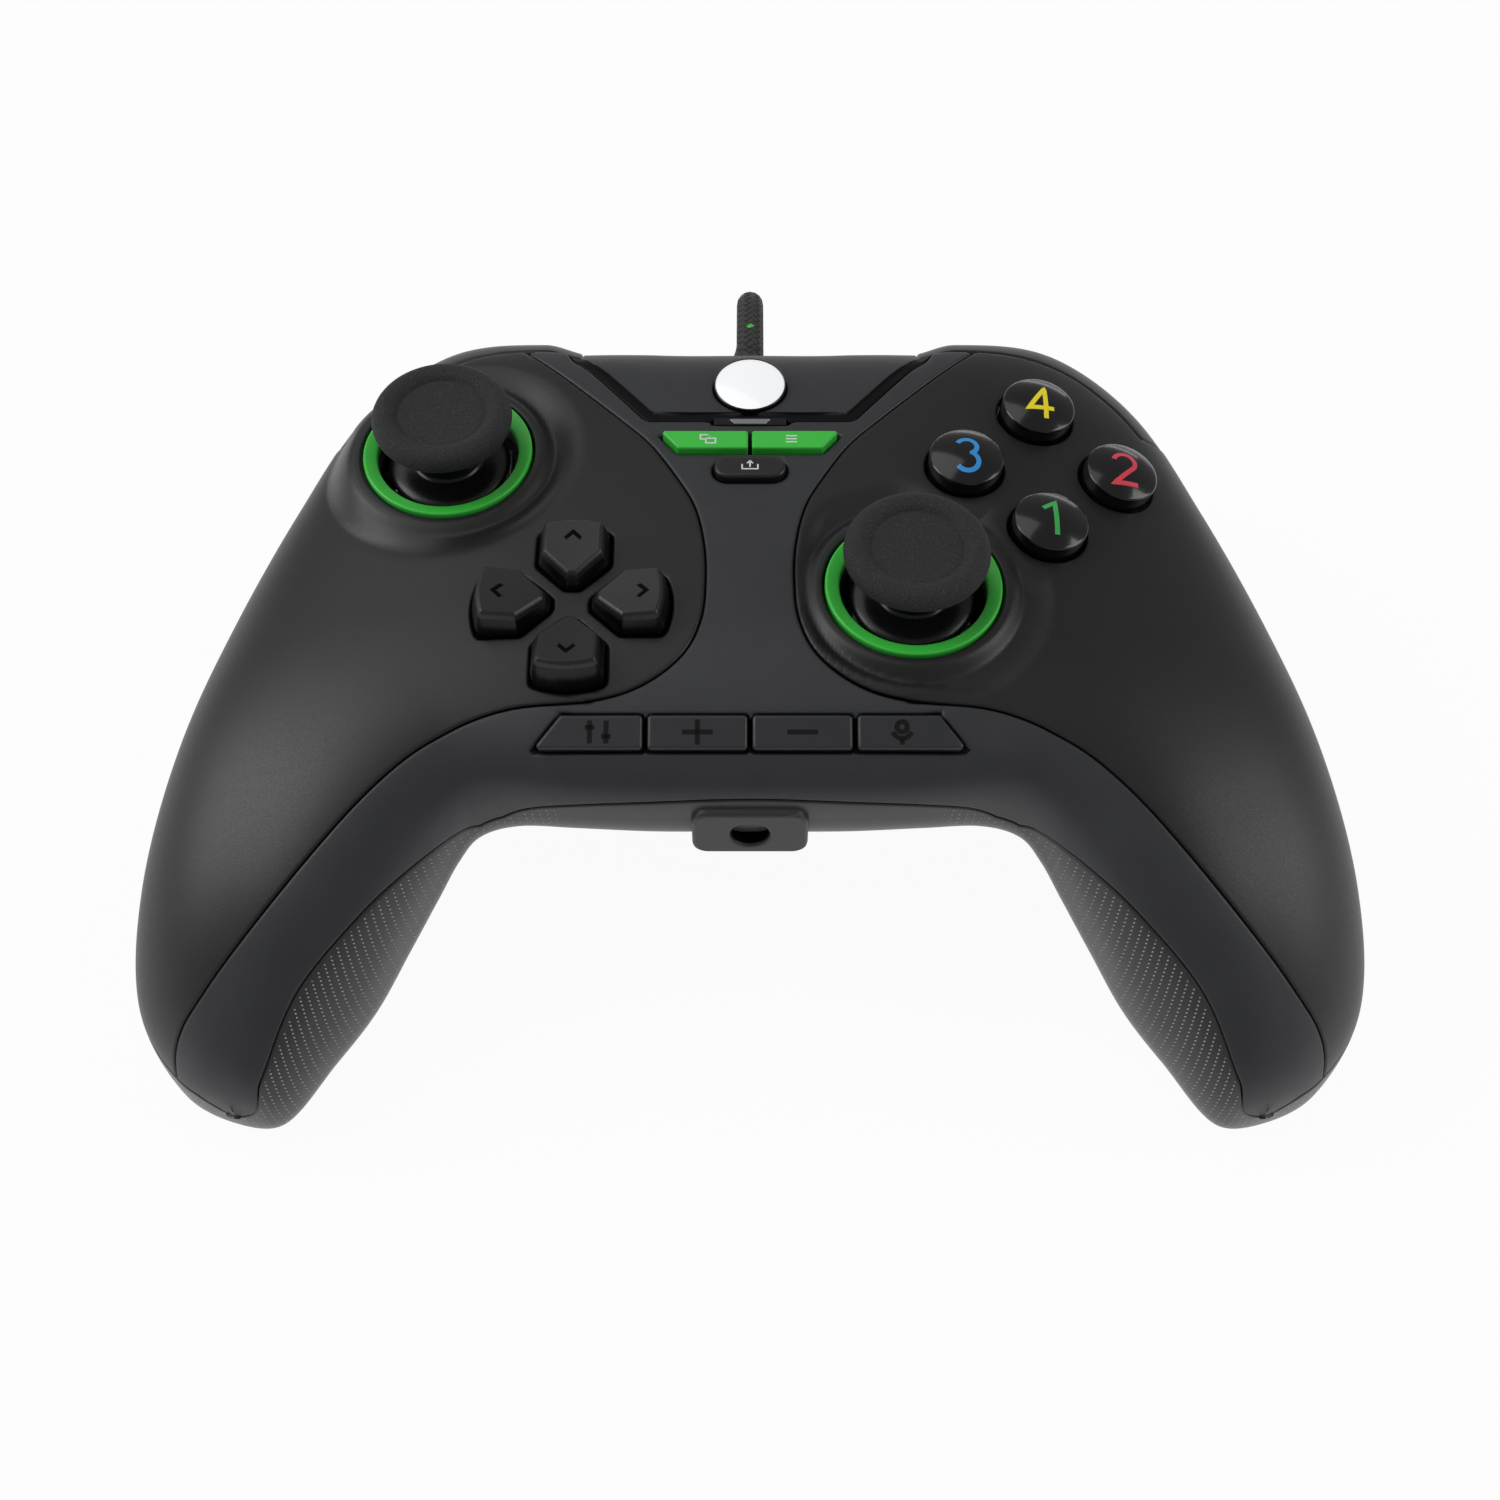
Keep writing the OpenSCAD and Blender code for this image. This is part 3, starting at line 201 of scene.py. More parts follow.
def loft(rings: Array) -> tuple[Array, Array]:
    """Skin over closed rings, with a fan from the middle of the first and the last.

    Args:
        rings: rings of points, turning left as seen from the last ring's side

    Returns:
        points and triangles of the closed form
    """
    first = np.repeat(rings[:1].mean(1, keepdims=True), rings.shape[1], 1)
    last = np.repeat(rings[-1:].mean(1, keepdims=True), rings.shape[1], 1)
    full = np.concatenate([first, rings, last])
    return weld(full.reshape(-1, 3), grid_faces(full.shape[0], full.shape[1], True))


def lathe(profile: Array, sides: int = 96) -> tuple[Array, Array]:
    """Turn a profile of radius and height about the upright axis.

    Args:
        profile: radius and height, from the bottom outwards and up to the top
        sides: points round the turn

    Returns:
        points and triangles of the turned form
    """
    profile = np.asarray(profile, float)
    a = np.linspace(0, 2 * np.pi, sides, endpoint=False)
    r = profile[:, :1]
    rings = np.stack([r * np.cos(a), r * np.sin(a), np.repeat(profile[:, 1:], sides, 1)], -1)
    return weld(rings.reshape(-1, 3), grid_faces(len(profile), sides, True))


def arc(middle: tuple[float, float], radius: float, start: float, end: float, steps: int) -> Array:
    """Points on a circle of the profile plane, from one angle in degrees to another."""
    a = np.radians(np.linspace(start, end, steps))
    return np.column_stack([middle[0] + radius * np.cos(a), middle[1] + radius * np.sin(a)])


def rounded(corners: Array, radius: float, inset: float = 0.0, steps: int = 6) -> Array:
    """Outline with an arc at each corner, moved inwards by an inset.

    Each arc's centre lies a radius inside both sides of its corner, so the inset outline keeps
    the centres and has a smaller radius.

    Args:
        corners: corners, turning left
        radius: radius of the arcs
        inset: how far the outline moves inwards
        steps: points on each arc

    Returns:
        points of the outline
    """
    p = np.asarray(corners, float)
    side = np.roll(p, -1, 0) - p
    side /= np.linalg.norm(side, axis=1, keepdims=True)
    after = np.column_stack([side[:, 1], -side[:, 0]])
    before = np.roll(after, 1, 0)
    share = 1 + (before * after).sum(1, keepdims=True)
    centre = p - radius * (before + after) / share
    a0 = np.arctan2(before[:, 1], before[:, 0])
    turn = np.arctan2(before[:, 0] * after[:, 1] - before[:, 1] * after[:, 0], (before * after).sum(1))
    a = a0[:, None] + turn[:, None] * np.linspace(0, 1, steps)[None, :]
    made = centre[:, None] + (radius - inset) * np.stack([np.cos(a), np.sin(a)], -1)
    return made.reshape(-1, 2)


def even(outline: Array, count: int) -> Array:
    """Points at equal steps along a closed outline."""
    closed = np.vstack([outline, outline[:1]])
    run = np.concatenate([[0], np.cumsum(np.linalg.norm(np.diff(closed, axis=0), axis=1))])
    at = np.linspace(0, run[-1], count, endpoint=False)
    return np.column_stack([np.interp(at, run, closed[:, 0]), np.interp(at, run, closed[:, 1])])


def stacked(corners: Array, radius: float, levels: list[tuple[float, float]]) -> tuple[Array, Array]:
    """Loft a rounded outline through levels of inset and height, from the bottom up.

    Args:
        corners: corners of the outline, turning left
        radius: radius at the corners
        levels: inset and height of each ring

    Returns:
        points and triangles
    """
    rings = []
    for inset, height in levels:
        outline = rounded(corners, radius, inset)
        rings.append(np.column_stack([outline, np.full(len(outline), height)]))
    return loft(np.stack(rings))


def edge_round(radius: float, top: float, steps: int = 5) -> list[tuple[float, float]]:
    """Levels of a rounded upper edge: a quarter circle from the side to the top, and a level rim."""
    a = np.linspace(0, np.pi / 2, steps)
    bend = [(float(radius * (1 - math.cos(x))), float(top - radius * (1 - math.sin(x)))) for x in a]
    return bend + [(radius + 0.04, top)]


def tube(path: Array, radius: Array, sides: int) -> tuple[Array, Array, Array]:
    """Carry a circle along a path without twist.

    The first side vector is square to the path. Each next one is the last with its part along
    the path taken off, so that the tube does not turn about itself.

    Args:
        path: points of the path
        radius: radius at each point
        sides: points round the tube

    Returns:
        the rings, the points' share of a turn, and the length along the path
    """
    ahead = np.gradient(path, axis=0)
    ahead /= np.linalg.norm(ahead, axis=1, keepdims=True)
    seed = np.array([0.0, 0.0, 1.0]) if abs(ahead[0, 2]) < 0.9 else np.array([1.0, 0.0, 0.0])
    across = np.empty_like(path)
    side = np.cross(ahead[0], seed)
    for i, t in enumerate(ahead):
        side = side - np.dot(side, t) * t
        side = side / np.linalg.norm(side)
        across[i] = side
    up = np.cross(across, ahead)
    a = np.linspace(0, 2 * np.pi, sides, endpoint=False)
    spread = across[:, None] * np.cos(a)[None, :, None] + up[:, None] * np.sin(a)[None, :, None]
    rings = path[:, None] + np.asarray(radius).reshape(-1, 1, 1) * spread
    run = np.concatenate([[0], np.cumsum(np.linalg.norm(np.diff(path, axis=0), axis=1))])
    return rings, a / (2 * np.pi), run


class Bench:
    """Short ways to lay out one material's nodes."""

    def __init__(self, name: str) -> None:
        """Start a material with its shader."""
        self.material = bpy.data.materials.new(name)
        self.material.use_nodes = True
        self.tree = self.material.node_tree
        self.shader = self.tree.nodes["Principled BSDF"]

    def add(self, kind: str, **values: object) -> bpy.types.Node:
        """Add a node and set its own settings by name."""
        node = self.tree.nodes.new(kind)
        for key, value in values.items():
            setattr(node, key, value)
        return node

    def link(self, source: object, target: object) -> None:
        """Join an output, or put a number or colour on an input."""
        if isinstance(source, bpy.types.NodeSocket):
            self.tree.links.new(source, target)
        else:
            target.default_value = source

    def maths(self, operation: str, first: object, second: object = 0.0, third: object = 0.0) -> object:
        """Work out one number from up to three."""
        node = self.add("ShaderNodeMath", operation=operation)
        self.link(first, node.inputs[0])
        self.link(second, node.inputs[1])
        self.link(third, node.inputs[2])
        return node.outputs[0]

    def noise(self, size_mm: float, detail: float = 3.0, where: object = None) -> object:
        """Noise with features of a size in millimetres, on the object's own coordinates."""
        node = self.add("ShaderNodeTexNoise")
        node.inputs["Scale"].default_value = 1 / (size_mm * MM)
        node.inputs["Detail"].default_value = detail
        if where is None:
            where = self.add("ShaderNodeTexCoord").outputs["Object"]
        self.link(where, node.inputs["Vector"])
        return node.outputs[0]

    def spread(self, value: object, low: float, high: float, to_low: float, to_high: float) -> object:
        """Map a range of numbers onto another, held at its ends."""
        node = self.add("ShaderNodeMapRange")
        self.link(value, node.inputs["Value"])
        for key, number in zip(("From Min", "From Max", "To Min", "To Max"), (low, high, to_low, to_high)):
            node.inputs[key].default_value = number
        return node.outputs[0]

    def mix(self, share: object, first: object, second: object) -> object:
        """Mix two colours by a share."""
        node = self.add("ShaderNodeMix", data_type="RGBA")
        self.link(share, node.inputs["Factor"])
        self.link(first, node.inputs[6])
        self.link(second, node.inputs[7])
        return node.outputs[2]

    def bump(self, height: object, depth_mm: float, below: object = None) -> object:
        """Relief from a height of 0 to 1, as deep as given in millimetres."""
        node = self.add("ShaderNodeBump")
        node.inputs["Distance"].default_value = depth_mm * MM
        self.link(height, node.inputs["Height"])
        if below is not None:
            self.link(below, node.inputs["Normal"])
        return node.outputs[0]

    def attribute(self, name: str) -> object:
        """Read a number that the mesh carries at its points."""
        return self.add("ShaderNodeAttribute", attribute_name=name).outputs["Fac"]


@dataclass(frozen=True)
class Moulded:
    """Moulded plastic: a spark-eroded grain, faint mottling and a sheen that varies with it, and where asked
    a painted glow.
    """

    name: str
    colour: tuple[int, int, int]
    rough: float = 0.45
    grain_mm: float = 0.22
    relief_mm: float = 0.012
    mottle: float = 0.16
    coat: float = 0.0
    metal: float = 0.0
    # light: strength of a painted glow, emission in the plastic's own colour, used only by the white lens
    light: float = 0.0
    shine: float = 0.5
    sheen: float = 0.0

    def tones(self, bench: Bench) -> object:
        """Colour that drifts a little over some millimetres."""
        base = np.array(linear(*self.colour))
        dark = tuple(float(x) for x in base[:3] * (1 - self.mottle)) + (1.0,)
        pale = tuple(float(x) for x in np.minimum(1, base[:3] * (1 + self.mottle))) + (1.0,)
        return bench.mix(bench.noise(6.0), dark, pale)

    def material(self) -> bpy.types.Material:
        """Lay out the shader.

        Returns:
            the finished material
        """
        bench = Bench(self.name)
        shader = bench.shader.inputs
        grain = bench.noise(self.grain_mm)
        bench.link(self.tones(bench), shader["Base Color"])
        bench.link(bench.spread(grain, 0.3, 0.7, self.rough - 0.05, self.rough + 0.05), shader["Roughness"])
        bench.link(bench.bump(grain, self.relief_mm), shader["Normal"])
        shader["Metallic"].default_value = self.metal
        shader["Coat Weight"].default_value = self.coat
        shader["Coat Roughness"].default_value = 0.05
        shader["Specular IOR Level"].default_value = self.shine
        shader["Sheen Weight"].default_value = self.sheen
        # painted glow: the emission makes the plastic shine by itself though it is no lamp
        if self.light > 0:
            shader["Emission Color"].default_value = linear(*self.colour)
            shader["Emission Strength"].default_value = self.light
        self.detail(bench, grain)
        return bench.material

    def detail(self, bench: Bench, grain: object) -> None:
        """Add what one kind of moulding has beyond the grain."""


@dataclass(frozen=True)
class Speckled(Moulded):
    """Rubber cap: coarse grain with paler specks on its crests."""

    speck: tuple[int, int, int] = (64, 66, 66)

    def detail(self, bench: Bench, grain: object) -> None:
        """Lift the crests of the grain to the speck colour."""
        shader = bench.shader.inputs
        crest = bench.spread(bench.noise(0.2, 2.0), 0.52, 0.72, 0.0, 0.8)
        bench.link(bench.mix(crest, self.tones(bench), linear(*self.speck)), shader["Base Color"])
        bench.link(bench.bump(bench.noise(0.24, 2.0), 0.045), shader["Normal"])


@dataclass(frozen=True)
class Banded(Moulded):
    """Moulding with a gloss black band where the mesh says so."""

    band: tuple[int, int, int] = (11, 11, 14)
    band_rough: float = 0.36

    def detail(self, bench: Bench, grain: object) -> None:
        """Darken and smooth the band."""
        shader = bench.shader.inputs
        there = bench.attribute("band")
        bench.link(bench.mix(there, self.tones(bench), linear(*self.band)), shader["Base Color"])
        plain = bench.spread(grain, 0.3, 0.7, self.rough - 0.05, self.rough + 0.05)
        clear = bench.maths("SUBTRACT", 1.0, there)
        kept = bench.maths("MULTIPLY", plain, clear)
        even_rough = bench.maths("ADD", kept, bench.maths("MULTIPLY", there, self.band_rough))
        bench.link(even_rough, shader["Roughness"])
        bench.link(bench.spread(there, 0.0, 1.0, 0.5, 0.15), shader["Specular IOR Level"])
        height = bench.maths("MULTIPLY", grain, clear)
        bench.link(bench.bump(height, self.relief_mm), shader["Normal"])


@dataclass(frozen=True)
class Dotted(Moulded):
    """Grip shell: columns of small raised dots with pale tops, on the mesh's own lengths."""

    dot: tuple[int, int, int] = (196, 197, 200)
    column_mm: float = 0.99
    step_mm: float = 0.51
    dot_mm: float = 0.11

    def detail(self, bench: Bench, grain: object) -> None:
        """Place a dot in each cell of a net, whose cells are longer across than along."""
        shader = bench.shader.inputs
        parts = bench.add("ShaderNodeSeparateXYZ")
        bench.link(bench.add("ShaderNodeUVMap", uv_map="lengths").outputs[0], parts.inputs[0])
        squares = []
        slants = (1.0, bench.attribute("slant"))
        for output, cell, slant in zip(parts.outputs, (self.column_mm, self.step_mm), slants):
            share = bench.maths("FRACT", bench.maths("DIVIDE", output, cell))
            off = bench.maths("MULTIPLY", bench.maths("SUBTRACT", share, 0.5), cell)
            off = bench.maths("DIVIDE", off, slant)
            squares.append(bench.maths("MULTIPLY", off, off))
        far = bench.maths("SQRT", bench.maths("ADD", squares[0], squares[1]))
        spot = bench.spread(far, self.dot_mm * 0.7, self.dot_mm * 1.3, 1.0, 0.0)
        dots = bench.maths("MULTIPLY", spot, bench.attribute("grip"))
        bench.link(bench.mix(dots, self.tones(bench), linear(*self.dot)), shader["Base Color"])
        bench.link(bench.bump(dots, 0.08, bench.bump(grain, self.relief_mm)), shader["Normal"])


@dataclass(frozen=True)
class Braided(Moulded):
    """Cable jacket: two sets of slanting strands, with flecks of a bright strand."""

    fleck: tuple[int, int, int] = (84, 204, 84)
    strands: int = 8
    lay_mm: float = 10.0

    def detail(self, bench: Bench, grain: object) -> None:
        """Weave the strands from the turn and the length that the mesh carries."""
        shader = bench.shader.inputs
        parts = bench.add("ShaderNodeSeparateXYZ")
        bench.link(bench.add("ShaderNodeUVMap", uv_map="lengths").outputs[0], parts.inputs[0])
        turn = bench.maths("MULTIPLY", parts.outputs[0], float(self.strands))
        along = bench.maths("MULTIPLY", parts.outputs[1], self.strands / self.lay_mm)
        left = bench.maths("ADD", along, turn)
        right = bench.maths("SUBTRACT", along, turn)
        left_hump = bench.maths("ABSOLUTE", bench.maths("SINE", bench.maths("MULTIPLY", left, math.pi)))
        right_hump = bench.maths("ABSOLUTE", bench.maths("SINE", bench.maths("MULTIPLY", right, math.pi)))
        pairing = bench.maths("ADD", bench.maths("FLOOR", left), bench.maths("FLOOR", right))
        over = bench.maths("FLOORED_MODULO", pairing, 2.0)
        top = bench.add("ShaderNodeMix", data_type="FLOAT")
        bench.link(over, top.inputs[0])
        bench.link(left_hump, top.inputs[2])
        bench.link(right_hump, top.inputs[3])
        weave = top.outputs[0]
        strand = bench.maths("FLOORED_MODULO", bench.maths("FLOOR", left), float(self.strands))
        stretch = bench.maths("FLOORED_MODULO", bench.maths("FLOOR", right), 5.0)
        picked = bench.maths("MULTIPLY", bench.maths("COMPARE", strand, 1.0, 0.2),
                             bench.maths("LESS_THAN", stretch, 1.5))
        shown = bench.maths("MULTIPLY", bench.maths("MULTIPLY", picked, bench.maths("SUBTRACT", 1.0, over)),
                            bench.spread(left_hump, 0.25, 0.5, 0.0, 1.0))
        dark = bench.mix(bench.spread(weave, 0.1, 0.9, 0.0, 1.0), linear(14, 14, 14), linear(*self.colour))
        bench.link(bench.mix(shown, dark, linear(*self.fleck)), shader["Base Color"])
        bench.link(bench.bump(weave, 0.3), shader["Normal"])


class Finish(Enum):
    """Every finish on the pad, under its plain name."""

    PANEL = Moulded("matte_black_panel", (25, 25, 26), rough=0.42)
    FRAME = Moulded("slate_frame", (48, 49, 53), rough=0.46)
    GUIDE = Banded("slate_guide_panel", (48, 49, 53), rough=0.46)
    SHELL = Dotted("dotted_grip_shell", (44, 44, 46), rough=0.4, sheen=0.25)
    GLOSS = Moulded("gloss_black_key", (9, 9, 10), rough=0.18, relief_mm=0.002, coat=0.3)
    SATIN = Moulded("satin_black_key", (30, 30, 31), rough=0.36, relief_mm=0.008)
    BUMPER = Moulded("gloss_bumper", (14, 14, 15), rough=0.4, relief_mm=0.004)
    DIRECTION = Moulded("direction_key", (30, 30, 31), rough=0.38, relief_mm=0.01)
    # the direction keys' glossy sides: their near-black, far darker than the key tops, paints the shade on
    # the sides
    SKIRT = Moulded("gloss_skirt", (6, 6, 6), rough=0.3, relief_mm=0.003, shine=0.3)
    DOME = Moulded("gloss_dome", (14, 14, 15), rough=0.26, relief_mm=0.002, shine=0.4)
    ROW = Moulded("function_key", (44, 45, 48), rough=0.4)
    GREEN = Moulded("green_plastic", (64, 204, 70), rough=0.38, relief_mm=0.006, mottle=0.06)
    # the white lens carries a painted glow that brightens it past what the lamps give
    WHITE = Moulded("white_lens", (238, 239, 241), rough=0.2, relief_mm=0.002, mottle=0.02, coat=1.0,
                    light=0.4)
    WINDOW = Moulded("grey_window", (128, 130, 134), rough=0.22, relief_mm=0.002, mottle=0.05, coat=0.6)
    RUBBER = Speckled("speckled_rubber", (36, 36, 37), rough=0.82, mottle=0.1)
    SOFT = Moulded("soft_membrane", (110, 110, 112), rough=0.7)
    INNER = Moulded("inner_black", (24, 24, 25), rough=0.6)
    STEEL = Moulded("bright_steel", (186, 188, 192), rough=0.28, relief_mm=0.003, metal=1.0, mottle=0.08)
    BOARD = Moulded("green_board", (24, 92, 52), rough=0.35, relief_mm=0.004)
    BRAID = Braided("braided_jacket", (58, 58, 58), rough=0.72)
    MOULDED_RUBBER = Moulded("cable_rubber", (26, 26, 27), rough=0.55)
    INK_WHITE = Moulded("white_ink", (232, 234, 236), rough=0.5, relief_mm=0.002, mottle=0.03)
    # near-black with little shine: the audio jack's black plastic, and painted shade in the direction keys'
    # sunk chevrons and in the headset hole
    INK_BLACK = Moulded("black_mark", (5, 5, 5), rough=0.6, relief_mm=0.004, shine=0.05)
    # dark faint marks stand for the function keys' debossed icons; their darkness is painted shade
    INK_FAINT = Moulded("faint_mark", (17, 17, 19), rough=0.55, relief_mm=0.004, shine=0.2)
    INK_YELLOW = Moulded("yellow_ink", (250, 232, 20), rough=0.45, relief_mm=0.002, mottle=0.04, coat=0.6)
    INK_BLUE = Moulded("blue_ink", (40, 150, 225), rough=0.45, relief_mm=0.002, mottle=0.04, coat=0.6)
    INK_RED = Moulded("red_ink", (225, 60, 80), rough=0.45, relief_mm=0.002, mottle=0.04, coat=0.6)
    INK_GREEN = Moulded("green_ink", (50, 175, 80), rough=0.45, relief_mm=0.002, mottle=0.04, coat=0.6)

    def made(self) -> bpy.types.Material:
        """Give the material, laid out once."""
        found = bpy.data.materials.get(self.value.name)
        return found if found is not None else self.value.material()


@dataclass
class Piece:
    """One mesh that is put into the scene: its points, triangles and what it carries."""

    name: str
    points: Array
    faces: Array
    finish: Finish
    body: str = "pad"
    slot: str = ""
    lengths: Array | None = None
    marks: dict[str, Array] = field(default_factory=dict)
    sharp: float = 38.0

    def put(self, *nodes: str, placed: bool = True) -> bpy.types.Object:
        """Write the mesh, dress it and let it ride on its body.

        Args:
            nodes: CAD nodes that the piece stands for
            placed: whether the points are in the pad's frame and still have to be placed

        Returns:
            the object
        """
        at = STAND.place(self.points) if placed else self.points
        mesh = bpy.data.meshes.new(self.name)
        count = len(self.faces)
        mesh.vertices.add(len(at))
        mesh.vertices.foreach_set("co", at.astype(np.float32).ravel())
        mesh.loops.add(3 * count)
        mesh.loops.foreach_set("vertex_index", self.faces.astype(np.int32).ravel())
        mesh.polygons.add(count)
        mesh.polygons.foreach_set("loop_start", np.arange(0, 3 * count, 3, dtype=np.int32))
        mesh.polygons.foreach_set("use_smooth", np.ones(count, dtype=bool))
        if self.lengths is not None:
            layer = mesh.uv_layers.new(name="lengths")
            layer.data.foreach_set("uv", self.lengths.reshape(-1, 2).astype(np.float32).ravel())
        for key, values in self.marks.items():
            carried = mesh.attributes.new(key, "FLOAT", "POINT")
            carried.data.foreach_set("value", values.astype(np.float32))
        mesh.update(calc_edges=True)
        mesh.set_sharp_from_angle(angle=math.radians(self.sharp))
        thing = bpy.data.objects.new(self.name, mesh)
        bpy.context.scene.collection.objects.link(thing)
        mesh.materials.append(self.finish.made())
        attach(thing, self.body)
        if nodes:
            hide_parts(*nodes)
        LOG.info("%s: %d triangles on %s", self.name, count, self.body)
        return thing


def joined(parts: list[tuple[Array, Array]]) -> tuple[Array, Array]:
    """Put several forms into one list of points and triangles."""
    starts = np.cumsum([0] + [len(p) for p, _ in parts])
    faces = [f + s for (_, f), s in zip(parts, starts)]
    return np.concatenate([p for p, _ in parts]), np.concatenate(faces)


def flipped(form: tuple[Array, Array]) -> tuple[Array, Array]:
    """Mirror a form across the pad's middle and keep its faces outwards."""
    return form[0] * np.array([-1, 1, 1]), form[1][:, ::-1]


class Outline:
    """A closed outline seen from above."""

    def __init__(self, corners: Array) -> None:
        """Keep the corners, in either turning sense."""
        self.corners = np.asarray(corners, float)

    def inside(self, u: Array, v: Array) -> Array:
        """Distance to the nearest side, positive inside.

        Args:
            u: places to the right
            v: places to the rear

        Returns:
            the signed distances
        """
        best = np.full(u.shape, np.inf)
        within = np.zeros(u.shape, dtype=bool)
        for (au, av), (bu, bv) in zip(self.corners, np.roll(self.corners, -1, 0)):
            du, dv = bu - au, bv - av
            k = np.clip(((u - au) * du + (v - av) * dv) / max(du * du + dv * dv, 1e-12), 0, 1)
            best = np.minimum(best, (u - au - k * du) ** 2 + (v - av - k * dv) ** 2)
            if dv != 0:
                within ^= ((av > v) != (bv > v)) & (u < au + du * (v - av) / dv)
        far = np.sqrt(best)
        return np.where(within, far, -far)


class Column(Enum):
    """What a patch carries at each point beyond its place and normal."""

    ALONG = 6
    TURN = 7
    INNER = 8
    OUTER = 9
    EDGE = 10
    CLEAR = 11
    SPARE = 12


@dataclass
class Patch:
    """A stretch of skin: points with what they carry, triangles, and how far inside it lies."""

    data: Array
    faces: Array
    inset: float = 0.0

    @property
    def u(self) -> Array:
        """Places to the right."""
        return self.data[:, 0]

    @property
    def v(self) -> Array:
        """Places to the rear."""
        return self.data[:, 1]

    @property
    def w(self) -> Array:
        """Heights out of the face."""
        return self.data[:, 2]

    def get(self, column: Column) -> Array:
        """One carried number at every point."""
        return self.data[:, column.value]

    def set(self, column: Column, values: Array) -> None:
        """Write one carried number."""
        self.data[:, column.value] = values

    def cut(self, column: Column, level: float, both: bool = False) -> "Patch":
        """Cut the triangles where a carried number passes a level.

        A triangle with corners on both sides gets a point on each crossed edge, in proportion
        to the two numbers, and is rebuilt on the kept side, or on both.

        Args:
            column: the carried number
            level: where to cut; what lies above it is kept
            both: whether what lies below is kept too

        Returns:
            the new patch
        """
        value = self.get(column) - level
        value = np.where(np.abs(value) < 1e-4, 1e-4, value)
        kept = value > 0
        count = kept[self.faces].sum(1)
        one = self.faces[count == 1]
        one = np.take_along_axis(one, (kept[one].argmax(1)[:, None] + np.arange(3)) % 3, 1)
        two = self.faces[count == 2]
        two = np.take_along_axis(two, (kept[two].argmin(1)[:, None] + np.arange(3)) % 3, 1)
        pairs = np.concatenate([one[:, [0, 1]], one[:, [0, 2]], two[:, [1, 0]], two[:, [2, 0]]])
        size = len(self.data)
        keys, back = np.unique(pairs[:, 0].astype(np.int64) * size + pairs[:, 1], return_inverse=True)
        near, far = keys // size, keys % size
        share = (value[near] / (value[near] - value[far]))[:, None]
        made = self.data[near] + share * (self.data[far] - self.data[near])
        made[:, column.value] = level
        new = size + back.reshape(-1)
        n = len(one)
        m = len(two)
        a, b, c, d = new[:n], new[n:2 * n], new[2 * n:2 * n + m], new[2 * n + m:]
        faces = [self.faces[count == 3], np.column_stack([one[:, 0], a, b]),
                 np.column_stack([c, two[:, 1], two[:, 2]]), np.column_stack([c, two[:, 2], d])]
        if both:
            faces += [self.faces[count == 0], np.column_stack([two[:, 0], c, d]),
                      np.column_stack([a, one[:, 1], one[:, 2]]), np.column_stack([a, one[:, 2], b])]
        return Patch(np.concatenate([self.data, made]), np.concatenate(faces), self.inset).tidy()

    def tidy(self) -> "Patch":
        """Drop points that no triangle uses."""
        used, back = np.unique(self.faces, return_inverse=True)
        return Patch(self.data[used], back.reshape(-1, 3), self.inset)

    def renormal(self) -> "Patch":
        """Work the normals out from the triangles, weighted by their areas."""
        p = self.data[:, :3]
        f = self.faces
        flat = np.cross(p[f[:, 1]] - p[f[:, 0]], p[f[:, 2]] - p[f[:, 0]])
        total = np.zeros_like(p)
        for k in range(3):
            np.add.at(total, f[:, k], flat)
        self.data[:, 3:6] = total / np.maximum(np.linalg.norm(total, axis=1, keepdims=True), 1e-9)
        return self

    def eased(self, radius: float, levels: tuple[float, ...]) -> "Patch":
        """Round the edges: sink each point along its normal as a quarter circle would.

        At a distance d from the edge, less than the radius, the sinking is
        radius - sqrt(radius squared - (radius - d) squared).

        Args:
            radius: radius of the edge
            levels: distances at which rows of points are put in

        Returns:
            the patch with rounded edges
        """
        done = self
        for level in levels:
            done = done.cut(Column.EDGE, level, both=True)
        short = np.clip(radius - done.get(Column.EDGE), 0, radius)
        sink = radius - np.sqrt(np.maximum(0, radius ** 2 - short ** 2))
        done.data[:, :3] -= done.data[:, 3:6] * sink[:, None]
        return done

    def walled(self, thickness: float) -> tuple[Array, Array]:
        """Give the patch a wall: the skin further inside, and rims round its borders.

        The inner face keeps whatever shift the outer one has from the skin it was cut from. The
        wall thins to a tenth towards the tips of the grips, where the skin closes.

        Args:
            thickness: how thick the wall is

        Returns:
            points and triangles of the closed wall
        """
        size = len(self.data)
        along, turn = self.get(Column.ALONG), self.get(Column.TURN)
        shift = self.data[:, :3] - SKIN.at(along, turn, self.inset)
        thin = thickness * (1 - 0.9 * ramp(0.88, 0.98, np.abs(along)))
        inner = SKIN.at(along, turn, self.inset + thin) + shift
        sides = [self.faces[:, [0, 1]], self.faces[:, [1, 2]], self.faces[:, [2, 0]]]
        edges = np.concatenate(sides).astype(np.int64)
        ahead = edges[:, 0] * size + edges[:, 1]
        border = edges[~np.isin(ahead, edges[:, 1] * size + edges[:, 0])]
        a, b = border[:, 0], border[:, 1]
        rim = np.concatenate([np.column_stack([a, a + size, b + size]), np.column_stack([a, b + size, b])])
        points = np.concatenate([self.data[:, :3], inner])
        return points, np.concatenate([self.faces, self.faces[:, ::-1] + size, rim])


